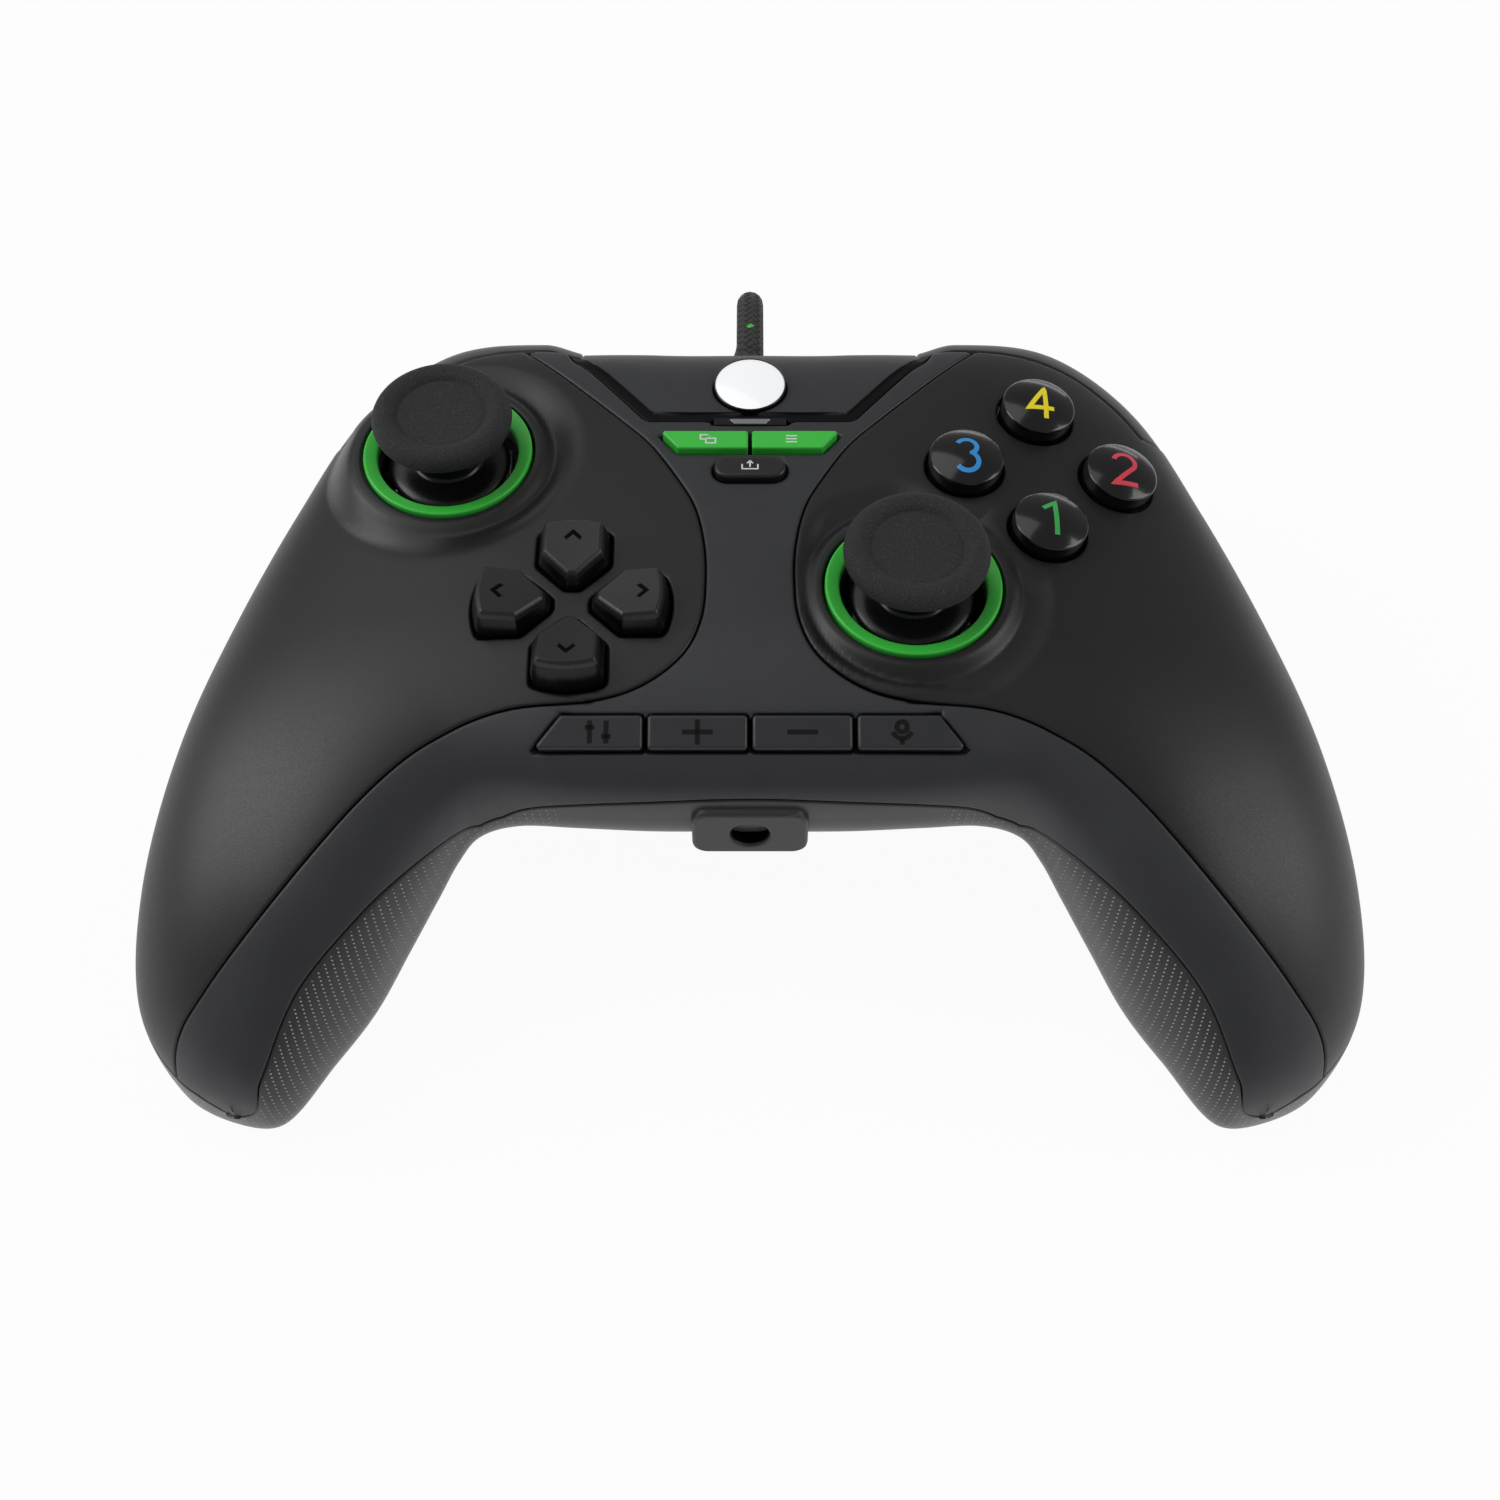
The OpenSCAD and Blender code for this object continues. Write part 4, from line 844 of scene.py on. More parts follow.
@dataclass
class Skin:
    """The pad's outer form, from the tip of one grip to the tip of the other."""

    stations: Array = field(default_factory=lambda: np.array([
        [0, 35, 0, -39, -9, -9, 0, -24],
        [15, 35.2, 12, -39, -9, -9, 0, -24],
        [30, 37.6, 22, -38.6, -9, -9, 0, -24],
        [43.5, 36.6, 29.5, -37.8, -9, -10, 0, -24.5],
        [55, 27, 34.5, -38, -9, -12, 0, -25.5],
        [63, 11, 37.3, -40, -9, -14, 0, -27],
        [70, -6.5, 40, -43.5, -9, -16, 0, -29],
        [75.8, -25, 43.5, -49, -9, -17, 0, -30],
        [79.3, -42, 47.5, -55.5, -10, -17, -0.5, -30],
        [79, -55, 52.5, -61.5, -11, -16, -2.5, -27.5],
        [73, -64.3, 59, -68.4, -12, -14, -6, -23],
        [65.5, -68.5, 65.5, -68.5, -12, -12, -12, -12]], float))
    crown_k: float = 13.9 / 55.5 ** 2
    bend_k: float = 16.6 / 54.5 ** 2
    level_u: float = 24.0
    level_v: float = -14.0
    under_share: float = 0.55
    tip_pull: float = 0.03

    def crown(self, u: Array) -> Array:
        """Fall of the sides: a parabola that starts beyond the level middle."""
        return self.crown_k * np.maximum(0, np.abs(u) - self.level_u) ** 2

    def bend(self, u: Array, v: Array) -> Array:
        """Fall of the face: the crown plus a parabola towards the grip ends."""
        return self.crown(u) + self.bend_k * np.maximum(0, self.level_v - v) ** 2

    def station(self, t: Array) -> Array:
        """Section sizes at a share of the way from the middle to a tip, on the cubic.

        In the last span crest and keel close like a ball: their height over the tip is
        multiplied by (1 - f) to a power that falls from 0 to -1/2.
        """
        s = self.stations
        turned = s[1] * np.array([-1, 1, -1, 1, 1, 1, 1, 1])
        full = np.vstack([turned, s, 2 * s[-1] - s[-2]])
        x = np.minimum(np.abs(t), 0.9999) * (len(s) - 1)
        i = np.floor(x).astype(int)
        f = (x - i)[..., None]
        made = catmull(full[i], full[i + 1], full[i + 2], full[i + 3], f)
        blunt = np.where(i[..., None] == len(s) - 2, (1 - f) ** (-0.5 * ramp(0, 1, f)), 1)
        made[..., 6:8] = s[-1, 6] + (made[..., 6:8] - s[-1, 6]) * blunt
        return made

    def powers(self, t: Array) -> tuple[Array, Array]:
        """Squareness of the upper and the lower half: high in the middle, rounder in the grips."""
        k = np.clip((np.abs(t) - 0.35) / 0.45, 0, 1)
        return 4.2 + (2.3 - 4.2) * k, 2.35 + (2.2 - 2.35) * k

    def at(self, t: Array, turn: Array, inset: float | Array = 0.0) -> Array:
        """Points of the skin.

        Each section is a rounded square of its power: at a turning angle b its reach is
        (|cos b|^p + |sin b|^p)^(-1/p). The reach across slides between the front and the rear
        edge, the reach upwards between the edge's height and the crest or keel.

        Args:
            t: share of the way, negative to the left
            turn: angle in radians, from the front edge over the top
            inset: how far inside the skin

        Returns:
            the points
        """
        s = self.station(t * (1 - inset * self.tip_pull))
        upper_p, lower_p = self.powers(t)
        upper = np.sin(turn) >= 0
        p = np.where(upper, upper_p, lower_p)
        reach = (np.abs(np.cos(turn)) ** p + np.abs(np.sin(turn)) ** p) ** (-1 / p)
        across = (1 - reach * np.cos(turn)) / 2
        rise = reach * np.abs(np.sin(turn))
        along = s[..., 0:2] - s[..., 2:4]
        along = along / np.maximum(np.linalg.norm(along, axis=-1, keepdims=True), 1e-9)
        pull = along * np.asarray(inset)[..., None]
        rear = s[..., 0:2] - pull
        front = s[..., 2:4] + pull
        plan = front + (rear - front) * across[..., None]
        edge = s[..., 5] + (s[..., 4] - s[..., 5]) * across
        w = edge + (np.where(upper, s[..., 6] - inset, s[..., 7] + inset) - edge) * rise
        lifted = np.where(upper, 0, (1 - self.under_share) * rise * self.crown(plan[..., 0]))
        height = w - self.bend(plan[..., 0], plan[..., 1]) + lifted
        return np.stack([np.where(t < 0, -1, 1) * plan[..., 0], plan[..., 1], height], -1)

    def seam_turn(self, t: Array, angle: Array) -> Array:
        """Turning angle of a parting line given in the sections' own angle.

        Args:
            t: share of the way
            angle: angle in degrees, 0 to 180

        Returns:
            the turning angle in radians
        """
        power = 2 / self.powers(t)[0]
        a = np.radians(angle)
        flat = np.sign(np.cos(a)) * np.abs(np.cos(a)) ** power
        return np.arctan2(np.abs(np.sin(a)) ** power, flat)

    def inner_seam(self, t: Array) -> Array:
        """Parting line along the inside of the grips, in degrees."""
        t = np.abs(t)
        return 10 * (1 - ramp(0, 0.3, t)) + 52 * ramp(0.36, 0.86, t) * (1 - ramp(0.9, 1, t))

    def outer_seam(self, t: Array) -> Array:
        """Parting line along the rear and the outside, in degrees."""
        t = np.abs(t)
        return 180 - 34 * ramp(0.8, 1, t) * (1 - ramp(0.93, 1, t))

    def patch(self, t: Array, low: float, high: float, steps: int, inset: float = 0.0) -> Patch:
        """Grid of the skin with normals and lengths.

        Args:
            t: shares of the way
            low: first turning angle in degrees
            high: last turning angle in degrees
            steps: rows round the section
            inset: how far inside the skin

        Returns:
            the patch, which carries the lengths from both parting lines; in the last sections
            before a tip they are drawn out to 9 mm in all, so that the lines thin to a point
        """
        turn = np.radians(np.linspace(low, high, steps))
        whole_t = np.repeat(t[:, None], steps, 1)
        whole_turn = np.repeat(turn[None, :], len(t), 0)
        points = self.at(whole_t, whole_turn, inset)
        hops = np.linalg.norm(np.diff(points, axis=1), axis=2)
        run = np.concatenate([np.zeros((len(t), 1)), np.cumsum(hops, 1)], 1)
        run = run * np.maximum(1, 9 / run[:, -1:])
        inner_turn = self.seam_turn(t, self.inner_seam(t)) + (2 * np.pi if high > 300 else 0)
        outer_turn = self.seam_turn(t, self.outer_seam(t))
        inner = run - self.looked_up(run, (inner_turn - turn[0]) / (turn[1] - turn[0]))
        outer = self.looked_up(run, (outer_turn - turn[0]) / (turn[1] - turn[0])) - run
        spare = np.zeros_like(whole_t)
        carried = np.stack([whole_t, whole_turn, inner, outer, spare, spare, spare], -1)
        data = np.concatenate([points, np.zeros_like(points), carried], -1).reshape(-1, 13)
        return Patch(data, grid_faces(len(t), steps, False)[:, ::-1], inset).renormal()

    @staticmethod
    def looked_up(run: Array, place: Array) -> Array:
        """Length at a place between two rows, for every column."""
        place = np.clip(place, 0, run.shape[1] - 1.001)
        i = np.floor(place).astype(int)[:, None]
        near = np.take_along_axis(run, i, 1)
        far = np.take_along_axis(run, i + 1, 1)
        return near + (far - near) * (place[:, None] - i)


SKIN = Skin()


def mirrored(corners: Array) -> Array:
    """The same outline on the other side of the middle."""
    return np.asarray(corners, float) * np.array([-1, 1])


@dataclass
class Layout:
    """Places and outlines that several pieces share."""

    left_stick: tuple[float, float, float] = (-40.9, 12.7, -1.0)
    right_stick: tuple[float, float, float] = (21.0, -11.4, 0.0)
    face: tuple[float, float] = (39.2, 9.3)
    face_pitch: float = 10.4
    face_r: float = 5.0
    dpad: tuple[float, float] = (-22.8, -14.5)
    key_gap: float = 0.35
    seam_half: float = 0.1
    row: tuple[float, float, float] = (-32.4, -3.1, 23.0)
    guide_v: float = 24.6
    share_v: float = 8.6

    def panel(self) -> Array:
        """Outline of the right panel's region: its seam, then far out and back."""
        seam = [(40.4, 42), (17.8, 18.3), (13.4, 13.4), (9.4, 6.8), (7.2, 2), (6, -4), (5.7, -10),
                (6.2, -16.5), (8.5, -22), (13.5, -26.3), (20, -28.4), (30.4, -29.3), (38.5, -32.1),
                (46, -37.4), (58.4, -49.9), (67.6, -57.9), (71.4, -61), (73, -63.5), (74, -68)]
        bent = spline(np.array(seam[1:]), 8)
        return np.vstack([[seam[0]], bent, [(74, -90), (100, -90), (100, 42)]])

    def window(self) -> Array:
        """Corners of the indicator's opening."""
        return np.array([(-5.2, 17.1), (5.2, 17.1), (5.2, 18.6), (-5.2, 18.6)])

    def cable_hole(self, u: Array, v: Array, w: Array) -> Array:
        """Length outside the cable's hole in the rear, and 5 mm in the front half."""
        return np.where(v > 20, np.hypot(u, w + 12) - 3.9, 5.0)

    def guide(self) -> Array:
        """Outline of the guide panel: wider to the rear."""
        reach = 14.2 + 24.1 * 0.79
        return rounded([(-14.2, 17.9), (14.2, 17.9), (reach, 42), (-reach, 42)], 1.6)

    def bumper(self) -> Array:
        """Outline of the right bumper, from above."""
        front = spline(np.array([(23.6, 32.4), (30, 33), (38, 32.4), (45, 29.6), (50.5, 24.7),
                                 (54.5, 19.2)]), 5)
        return np.vstack([front, [(68, 22), (68, 46), (23.6, 46)]])

    def back_button(self) -> Array:
        """Outline of the right back button, from below."""
        return spline(np.array([(31.5, -33), (36, -35.5), (41.5, -41), (44.5, -38), (41, -29), (36, -24),
                                (31, -25)]), 6, closed=True)

    def dpad_key(self) -> Array:
        """Corners of the rear direction key: a nose, two shoulders and a bowed outer edge."""
        x = np.linspace(1, -1, 9)
        bow = np.column_stack([4.6 * x, 12.6 - 0.9 * x * x])
        return np.vstack([[(0.9, 2.6), (4.6, 6.4)], bow, [(-4.6, 6.4), (-0.9, 2.6)]])

    def dpad_keys(self) -> list[Array]:
        """Corners of the four direction keys, in pad places: rear, left, front, right."""
        made = []
        for k in range(4):
            c, s = math.cos(k * math.pi / 2), math.sin(k * math.pi / 2)
            made.append(self.dpad_key() @ np.array([[c, s], [-s, c]]) + np.array(self.dpad))
        return made

    def pair(self, split: float = 0.4) -> Array:
        """Corners of the right coloured key."""
        return np.array([(split, 12), (9.7, 12), (12.2, 15.2), (split, 15.2)])

    def share(self) -> Array:
        """Corners of the pill-shaped key's box."""
        key = np.array([(-4.8, -1.85), (4.8, -1.85), (4.8, 1.85), (-4.8, 1.85)])
        return key + np.array([0, self.share_v])

    def row_keys(self) -> list[Array]:
        """Corners of the four function keys in the row's own plane, from the left."""
        inner = np.array([(0.3, -2.2), (12.7, -2.2), (12.7, 2.2), (0.3, 2.2)])
        outer = np.array([(13.3, -2.2), (26.9, -2.2), (23.5, 2.2), (13.3, 2.2)])
        return [mirrored(outer)[::-1], mirrored(inner)[::-1], inner, outer]

    def face_places(self) -> list[tuple[float, float]]:
        """Middles of the rear, left, front and right face button."""
        u, v = self.face
        k = self.face_pitch
        return [(u, v + k), (u - k, v), (u, v - k), (u + k, v)]

    def lean(self, u: float) -> float:
        """Slope of the face at a face button, in radians."""
        return math.atan(2 * SKIN.crown_k * max(0.0, abs(u) - SKIN.level_u)) * math.copysign(1, u)

    def on_face(self, points: Array, at: tuple[float, float]) -> Array:
        """Lean points with the face and set them on it at a place."""
        a = self.lean(at[0])
        x, y, z = points[:, 0], points[:, 1], points[:, 2]
        base = -float(SKIN.bend(np.array(at[0]), np.array(at[1])))
        return np.column_stack([at[0] + x * math.cos(a) + z * math.sin(a), at[1] + y,
                                base - x * math.sin(a) + z * math.cos(a)])

    def to_row(self, u: Array, v: Array, w: Array) -> tuple[Array, Array, Array]:
        """Places in the plane of the function keys."""
        a = math.radians(self.row[2])
        y, z = v - self.row[0], w - self.row[1]
        return u, y * math.cos(a) + z * math.sin(a), z * math.cos(a) - y * math.sin(a)

    def from_row(self, points: Array) -> Array:
        """Points of that plane in the pad's frame."""
        a = math.radians(self.row[2])
        y, z = points[:, 1], points[:, 2]
        return np.column_stack([points[:, 0], self.row[0] + y * math.cos(a) - z * math.sin(a),
                                self.row[1] + y * math.sin(a) + z * math.cos(a)])


LAYOUT = Layout()


def ribbon(line: Array, width: float, height: Callable[[Array, Array], Array],
           proud: float = 0.04) -> tuple[Array, Array]:
    """Carry a flat bar along a line so that it lies in a surface.

    Args:
        line: points of the line, from above
        width: width of the bar
        height: height of the surface at a place
        proud: how far the bar stands above the surface

    Returns:
        points and triangles
    """
    line = np.asarray(line, float)
    hop = np.linalg.norm(np.diff(line, axis=0), axis=1)
    run = np.concatenate([[0], np.cumsum(hop)])
    at = np.unique(np.concatenate([run, np.arange(0, run[-1], 0.2)]))
    path = np.column_stack([np.interp(at, run, line[:, 0]), np.interp(at, run, line[:, 1])])
    before = np.diff(path, axis=0, prepend=2 * path[:1] - path[1:2])
    after = np.diff(path, axis=0, append=2 * path[-1:] - path[-2:-1])
    before /= np.linalg.norm(before, axis=1, keepdims=True)
    after /= np.linalg.norm(after, axis=1, keepdims=True)
    mid = before + after
    mid /= np.maximum(np.linalg.norm(mid, axis=1, keepdims=True), 1e-6)
    open_up = np.maximum(0.5, (mid * after).sum(1, keepdims=True))
    side = np.column_stack([-mid[:, 1], mid[:, 0]]) * width / 2 / open_up
    left, right = path + side, path - side
    tops = [np.column_stack([p, height(p[:, 0], p[:, 1]) + proud]) for p in (left, right)]
    lows = [t - np.array([0, 0, proud + 0.12]) for t in tops]
    return loft(np.stack([tops[0], tops[1], lows[1], lows[0]], 1)[:, ::-1])


class Shells:
    """The five mouldings that make the pad's outside, each trimmed from the skin."""

    wall: float = 1.7
    edge_r: float = 0.32
    rows: tuple[float, ...] = (0.04, 0.11, 0.21, 0.33)

    def moat(self, patch: Patch, at: tuple[float, float, float]) -> Patch:
        """Shape the collar and the soft hollow round a stick.

        The collar is level at the ring's height. Beyond it the height slides to the skin's over
        a smooth step, less a hollow that is steep at the collar and runs out level. On the left
        the hollow is shallow towards the outside.

        Args:
            patch: skin of the panel, whose spare number is the distance from the stick, and
                whose clear number is the share of the hollow that is kept
            at: the stick's place

        Returns:
            the shaped patch
        """
        far = patch.get(Column.SPARE)
        slide = ramp(12.9, 17.4, far)
        hollow = 1.25 * ramp(12.7, 14.6, far) * (1 - ramp(13.9, 18.8, far))
        kept = patch.get(Column.CLEAR)
        if at[0] < 0:
            facing = np.arctan2(patch.v - at[1], patch.u - at[0])
            kept = kept * (0.6 + 0.4 * np.cos(facing - 0.5))
        level = at[2] + 0.22 - 0.1 * ramp(12.5, 13.1, far)
        shaped = level + (patch.w - level) * slide - hollow * kept
        near = far < 19.0
        patch.data[:, 2] = np.where(near, shaped, patch.w)
        return patch

    def panel(self, side: int) -> None:
        """Make one face panel with its stick collar and its key holes.

        Args:
            side: -1 for the left, 1 for the right
        """
        patch = SKIN.patch(np.sort(side * np.linspace(0.0, 1.0, 270)), -12, 200, 190)
        u, v, w = patch.u, patch.v, patch.w
        seam = Outline(LAYOUT.panel()).inside(side * u, v) - LAYOUT.seam_half
        at = LAYOUT.left_stick if side < 0 else LAYOUT.right_stick
        far = np.hypot(u - at[0], v - at[1])
        fields = [seam, patch.get(Column.INNER), patch.get(Column.OUTER) - 0.15,
                  -Outline(LAYOUT.bumper()).inside(side * u, v)]
        holes = [np.full(u.shape, 9.0)]
        if side < 0:
            near = np.hypot(u - LAYOUT.dpad[0], v - LAYOUT.dpad[1]) < 15
            for key in LAYOUT.dpad_keys():
                shape = Outline(rounded(key, 0.5))
                hole = -shape.inside(u[near], v[near]) - LAYOUT.key_gap
                holes[0][near] = np.minimum(holes[0][near], hole)
        else:
            for place in LAYOUT.face_places():
                a = LAYOUT.lean(place[0])
                base = -SKIN.bend(np.array(place[0]), np.array(place[1]))
                x = (u - place[0]) * math.cos(a) - (w - base) * math.sin(a)
                holes.append(np.hypot(x, v - place[1]) - LAYOUT.face_r - LAYOUT.key_gap)
        holed = np.minimum.reduce(holes)
        patch.set(Column.CLEAR, ramp(0.2, 3.0, np.minimum.reduce(fields)) * ramp(0.3, 5.5, holed))
        patch.set(Column.EDGE, np.minimum.reduce(fields + [holed, far - 11.72]))
        patch.set(Column.SPARE, far)
        patch = patch.cut(Column.EDGE, 0.0)
        for ring in (12.1, 12.6, 12.8, 13.0, 13.2, 13.5, 13.9, 14.3, 14.8, 15.5, 16.3, 17.1, 18.0, 19.0):
            patch = patch.cut(Column.SPARE, ring, both=True)
        patch = self.moat(patch, at).renormal().eased(self.edge_r, self.rows)
        points, faces = patch.walled(self.wall)
        name = "left_face_panel" if side < 0 else "right_face_panel"
        Piece(name + "_skin", points, faces, Finish.PANEL, slot="panel_black").put(name)

    def center_frame(self) -> None:
        """Make the middle frame with the strips along both grips."""
        half = np.concatenate([np.linspace(0, 0.3, 90, endpoint=False),
                               np.linspace(0.3, 0.9, 106, endpoint=False),
                               1 - 0.1 * np.linspace(1, 0, 40) ** 2])
        patch = SKIN.patch(np.concatenate([-half[:0:-1], half]), -12, 200, 140)
        u, v, w = patch.u, patch.v, patch.w
        x, y, _ = LAYOUT.to_row(u, v, w)
        panel = Outline(LAYOUT.panel())
        keys = [Outline(k) for k in LAYOUT.row_keys()]
        row = np.maximum.reduce([k.inside(x, y) for k in keys])
        front = np.where(v < -24, row, -5.0)
        tab = np.minimum(np.minimum(7.65 - np.abs(u), -32 - v), -9.7 - w)
        fields = [-panel.inside(np.abs(u), v) - LAYOUT.seam_half, patch.get(Column.INNER) - 0.05,
                  patch.get(Column.OUTER) - 0.15,
                  -Outline(LAYOUT.guide()).inside(u, v) - LAYOUT.seam_half,
                  -Outline(LAYOUT.bumper()).inside(np.abs(u), v),
                  -Outline(LAYOUT.pair(-1)).inside(np.abs(u), v) - LAYOUT.key_gap,
                  -Outline(rounded(LAYOUT.share(), 1.84)).inside(u, v) - LAYOUT.key_gap,
                  -Outline(LAYOUT.window()).inside(u, v),
                  -front - LAYOUT.key_gap, LAYOUT.cable_hole(u, v, w), -tab]
        patch.set(Column.EDGE, np.minimum.reduce(fields))
        patch = self.straight_rear(patch.cut(Column.EDGE, 0.0)).eased(self.edge_r, self.rows)
        points, faces = patch.walled(self.wall)
        Piece("center_frame_skin", points, faces, Finish.FRAME, slot="frame_slate").put("center_frame")

    def straight_rear(self, patch: Patch) -> Patch:
        """Draw the upper rear edge between the bumpers in to a straight line."""
        a = np.abs(patch.u)
        beyond = 2.6 * ramp(13, 31, a) * (1 - ramp(24.2, 26.0, a))
        patch.data[:, 1] -= beyond * ramp(27, 36, patch.v) * ramp(-9, -4, patch.w)
        return patch.renormal()

    def guide_panel(self) -> None:
        """Make the guide panel with a gloss band along its border."""
        patch = SKIN.patch(np.linspace(-0.42, 0.42, 240), 88, 200, 120)
        u, v, w = patch.u, patch.v, patch.w
        border = Outline(LAYOUT.guide()).inside(u, v)
        fields = [border - LAYOUT.seam_half, patch.get(Column.OUTER) - 0.15,
                  np.hypot(u, v - LAYOUT.guide_v) - LAYOUT.face_r - 0.14,
                  -Outline(LAYOUT.window()).inside(u, v),
                  LAYOUT.cable_hole(u, v, w),
                  -Outline(LAYOUT.bumper()).inside(np.abs(u), v)]
        patch.set(Column.EDGE, np.minimum.reduce(fields))
        patch.set(Column.SPARE, border - 0.55 - 1.15 * ramp(18.2, 19.6, v))
        patch = self.straight_rear(patch.cut(Column.EDGE, 0.0))
        patch = patch.cut(Column.SPARE, -0.05, both=True).cut(Column.SPARE, 0.05, both=True)
        sunk = 1 - ramp(-0.05, 0.05, patch.get(Column.SPARE))
        patch.data[:, 2] -= 0.3 * sunk * (1 - ramp(28, 31.5, patch.v))
        patch = patch.eased(0.2, (0.05, 0.12, 0.21))
        band = 1 - ramp(-0.05, 0.05, patch.get(Column.SPARE))
        points, faces = patch.walled(self.wall)
        piece = Piece("guide_panel_skin", points, faces, Finish.GUIDE, slot="frame_slate",
                      marks={"band": np.concatenate([band, band])})
        piece.put("guide_panel")

    def rear_shell(self) -> None:
        """Make the rear shell with its dotted grips, openings and headset tab."""
        half = np.concatenate([np.linspace(0, 0.9, 136, endpoint=False),
                               1 - 0.1 * np.linspace(1, 0, 34) ** 2])
        patch = SKIN.patch(np.concatenate([-half[:0:-1], half]), 130, 424, 132)
        u, v, w = patch.u, patch.v, patch.w
        a = np.abs(u)
        bumper = np.minimum(Outline(LAYOUT.bumper()).inside(a, v), w + 13.8)
        pocket = np.minimum.reduce([8.75 - np.abs(a - 42.25), v - 20.7, -13.8 - w])
        back = np.where(w < -16, Outline(LAYOUT.back_button()).inside(a, v) + 0.3, -5.0)
        fields = [-patch.get(Column.INNER) - 0.1, -patch.get(Column.OUTER) - 0.1, -bumper, -pocket, -back,
                  LAYOUT.cable_hole(u, v, w)]
        for place in ((24, 16), (25.5, -29)):
            fields.append(np.where(w < -16, np.hypot(a - place[0], v - place[1]) - 2.6, 5.0))
        patch.set(Column.EDGE, np.minimum.reduce(fields))
        patch = patch.cut(Column.EDGE, 0.0).eased(self.edge_r, self.rows)
        self.dotted("rear_shell_skin", patch).put("rear_shell")
        self.tab()
        self.liners()

    def dotted(self, name: str, patch: Patch) -> Piece:
        """Wall a stretch of the rear shell and lay the dots' net over it.

        The net lies in the plane that the player sees: one length rises square to their view,
        the other runs outwards and leans with it. The slant is how squarely the shell faces it.

        Args:
            name: name of the piece
            patch: the trimmed skin

        Returns:
            the piece
        """
        points, faces = patch.walled(self.wall)
        grip = ramp(24.0, 24.6, np.abs(patch.u)) * ramp(0.4, 0.7, patch.get(Column.EDGE))
        slant = np.clip(np.abs(0.82 * patch.data[:, 5] - 0.57 * patch.data[:, 4]), 0.2, 1)
        up = 0.82 * patch.v + 0.57 * patch.w
        lengths = np.column_stack([np.abs(patch.u) - 0.2 * up, up])
        both = np.concatenate([lengths, lengths])
        marks = {"grip": np.concatenate([grip, np.zeros(len(grip))]), "slant": np.concatenate([slant, slant])}
        return Piece(name, points, faces, Finish.SHELL, slot="shell_grey", lengths=both[faces], marks=marks)

    def tab(self) -> None:
        """Make the headset tab: a rounded plate with a turned hole through it."""
        corners = np.array([(-7.35, -18.9), (7.35, -18.9), (7.35, -10), (-7.35, -10)])
        levels = [(0.0, -36.4), (0.0, -39.4), (0.12, -39.75), (0.5, -40.0), (0.7, -40.0)]
        rings = []
        for inset, v in levels:
            outline = even(rounded(corners, 2.0, inset, 8), 120)
            rings.append(np.column_stack([outline[:, 0], np.full(len(outline), v), outline[:, 1]]))
        count = rings[0].shape[0]
        first = rings[0][:, [0, 2]] - np.array([0, -14.6])
        angle = np.arctan2(first[:, 1], first[:, 0])
        for r, v in ((3.0, -40.0), (2.75, -40.0), (2.55, -39.85), (2.48, -39.6), (2.48, -36.4)):
            rings.append(np.column_stack([r * np.cos(angle), np.full(count, v), -14.6 + r * np.sin(angle)]))
        full = np.stack(rings + [rings[0]])
        points, faces = weld(full.reshape(-1, 3), grid_faces(len(full), count, True))
        Piece("headset_tab", points, faces, Finish.FRAME, slot="shell_grey").put()
        # a near-black cup a short way into the hole closes it and paints the shade of the deep hole behind
        cup = np.array([(0, -36.6), (2.47, -36.6), (2.47, -39.6), (2.3, -39.6), (2.3, -37.4), (0, -37.4)])
        points, faces = lathe(cup[::-1], 64)
        turned = np.column_stack([points[:, 0], points[:, 2], -14.6 - points[:, 1]])
        Piece("headset_bore", turned, faces, Finish.INK_BLACK, slot="inner_black").put()

    def liners(self) -> None:
        """Make the two trigger pockets' liners: boxes that close the shell behind the triggers."""
        form = []
        for side in (-1, 1):
            low, high = np.array([33.2, 20.2, -25.0]), np.array([51.3, 29.0, -13.9])
            corner = np.array([(x, y, z) for z in (0, 1) for y in (0, 1) for x in (0, 1)])
            outer = low + (high - low) * corner
            faces = np.array([(0, 4, 5), (0, 5, 1), (0, 2, 6), (0, 6, 4), (1, 5, 7), (1, 7, 3), (4, 6, 7),
                              (4, 7, 5)])
            inner = outer + np.array([0.3, 0.3, 0]) * np.where(corner > 0, -1, 1)
            inner[:, 2] = np.where(corner[:, 2] > 0, high[2] - 0.3, low[2])
            box = (np.concatenate([outer, inner]), np.concatenate([faces, faces[:, ::-1] + 8]))
            form.append(box if side > 0 else flipped(box))
        points, faces = joined(form)
        Piece("trigger_pocket_liners", points, faces, Finish.INNER, slot="inner_black").put()


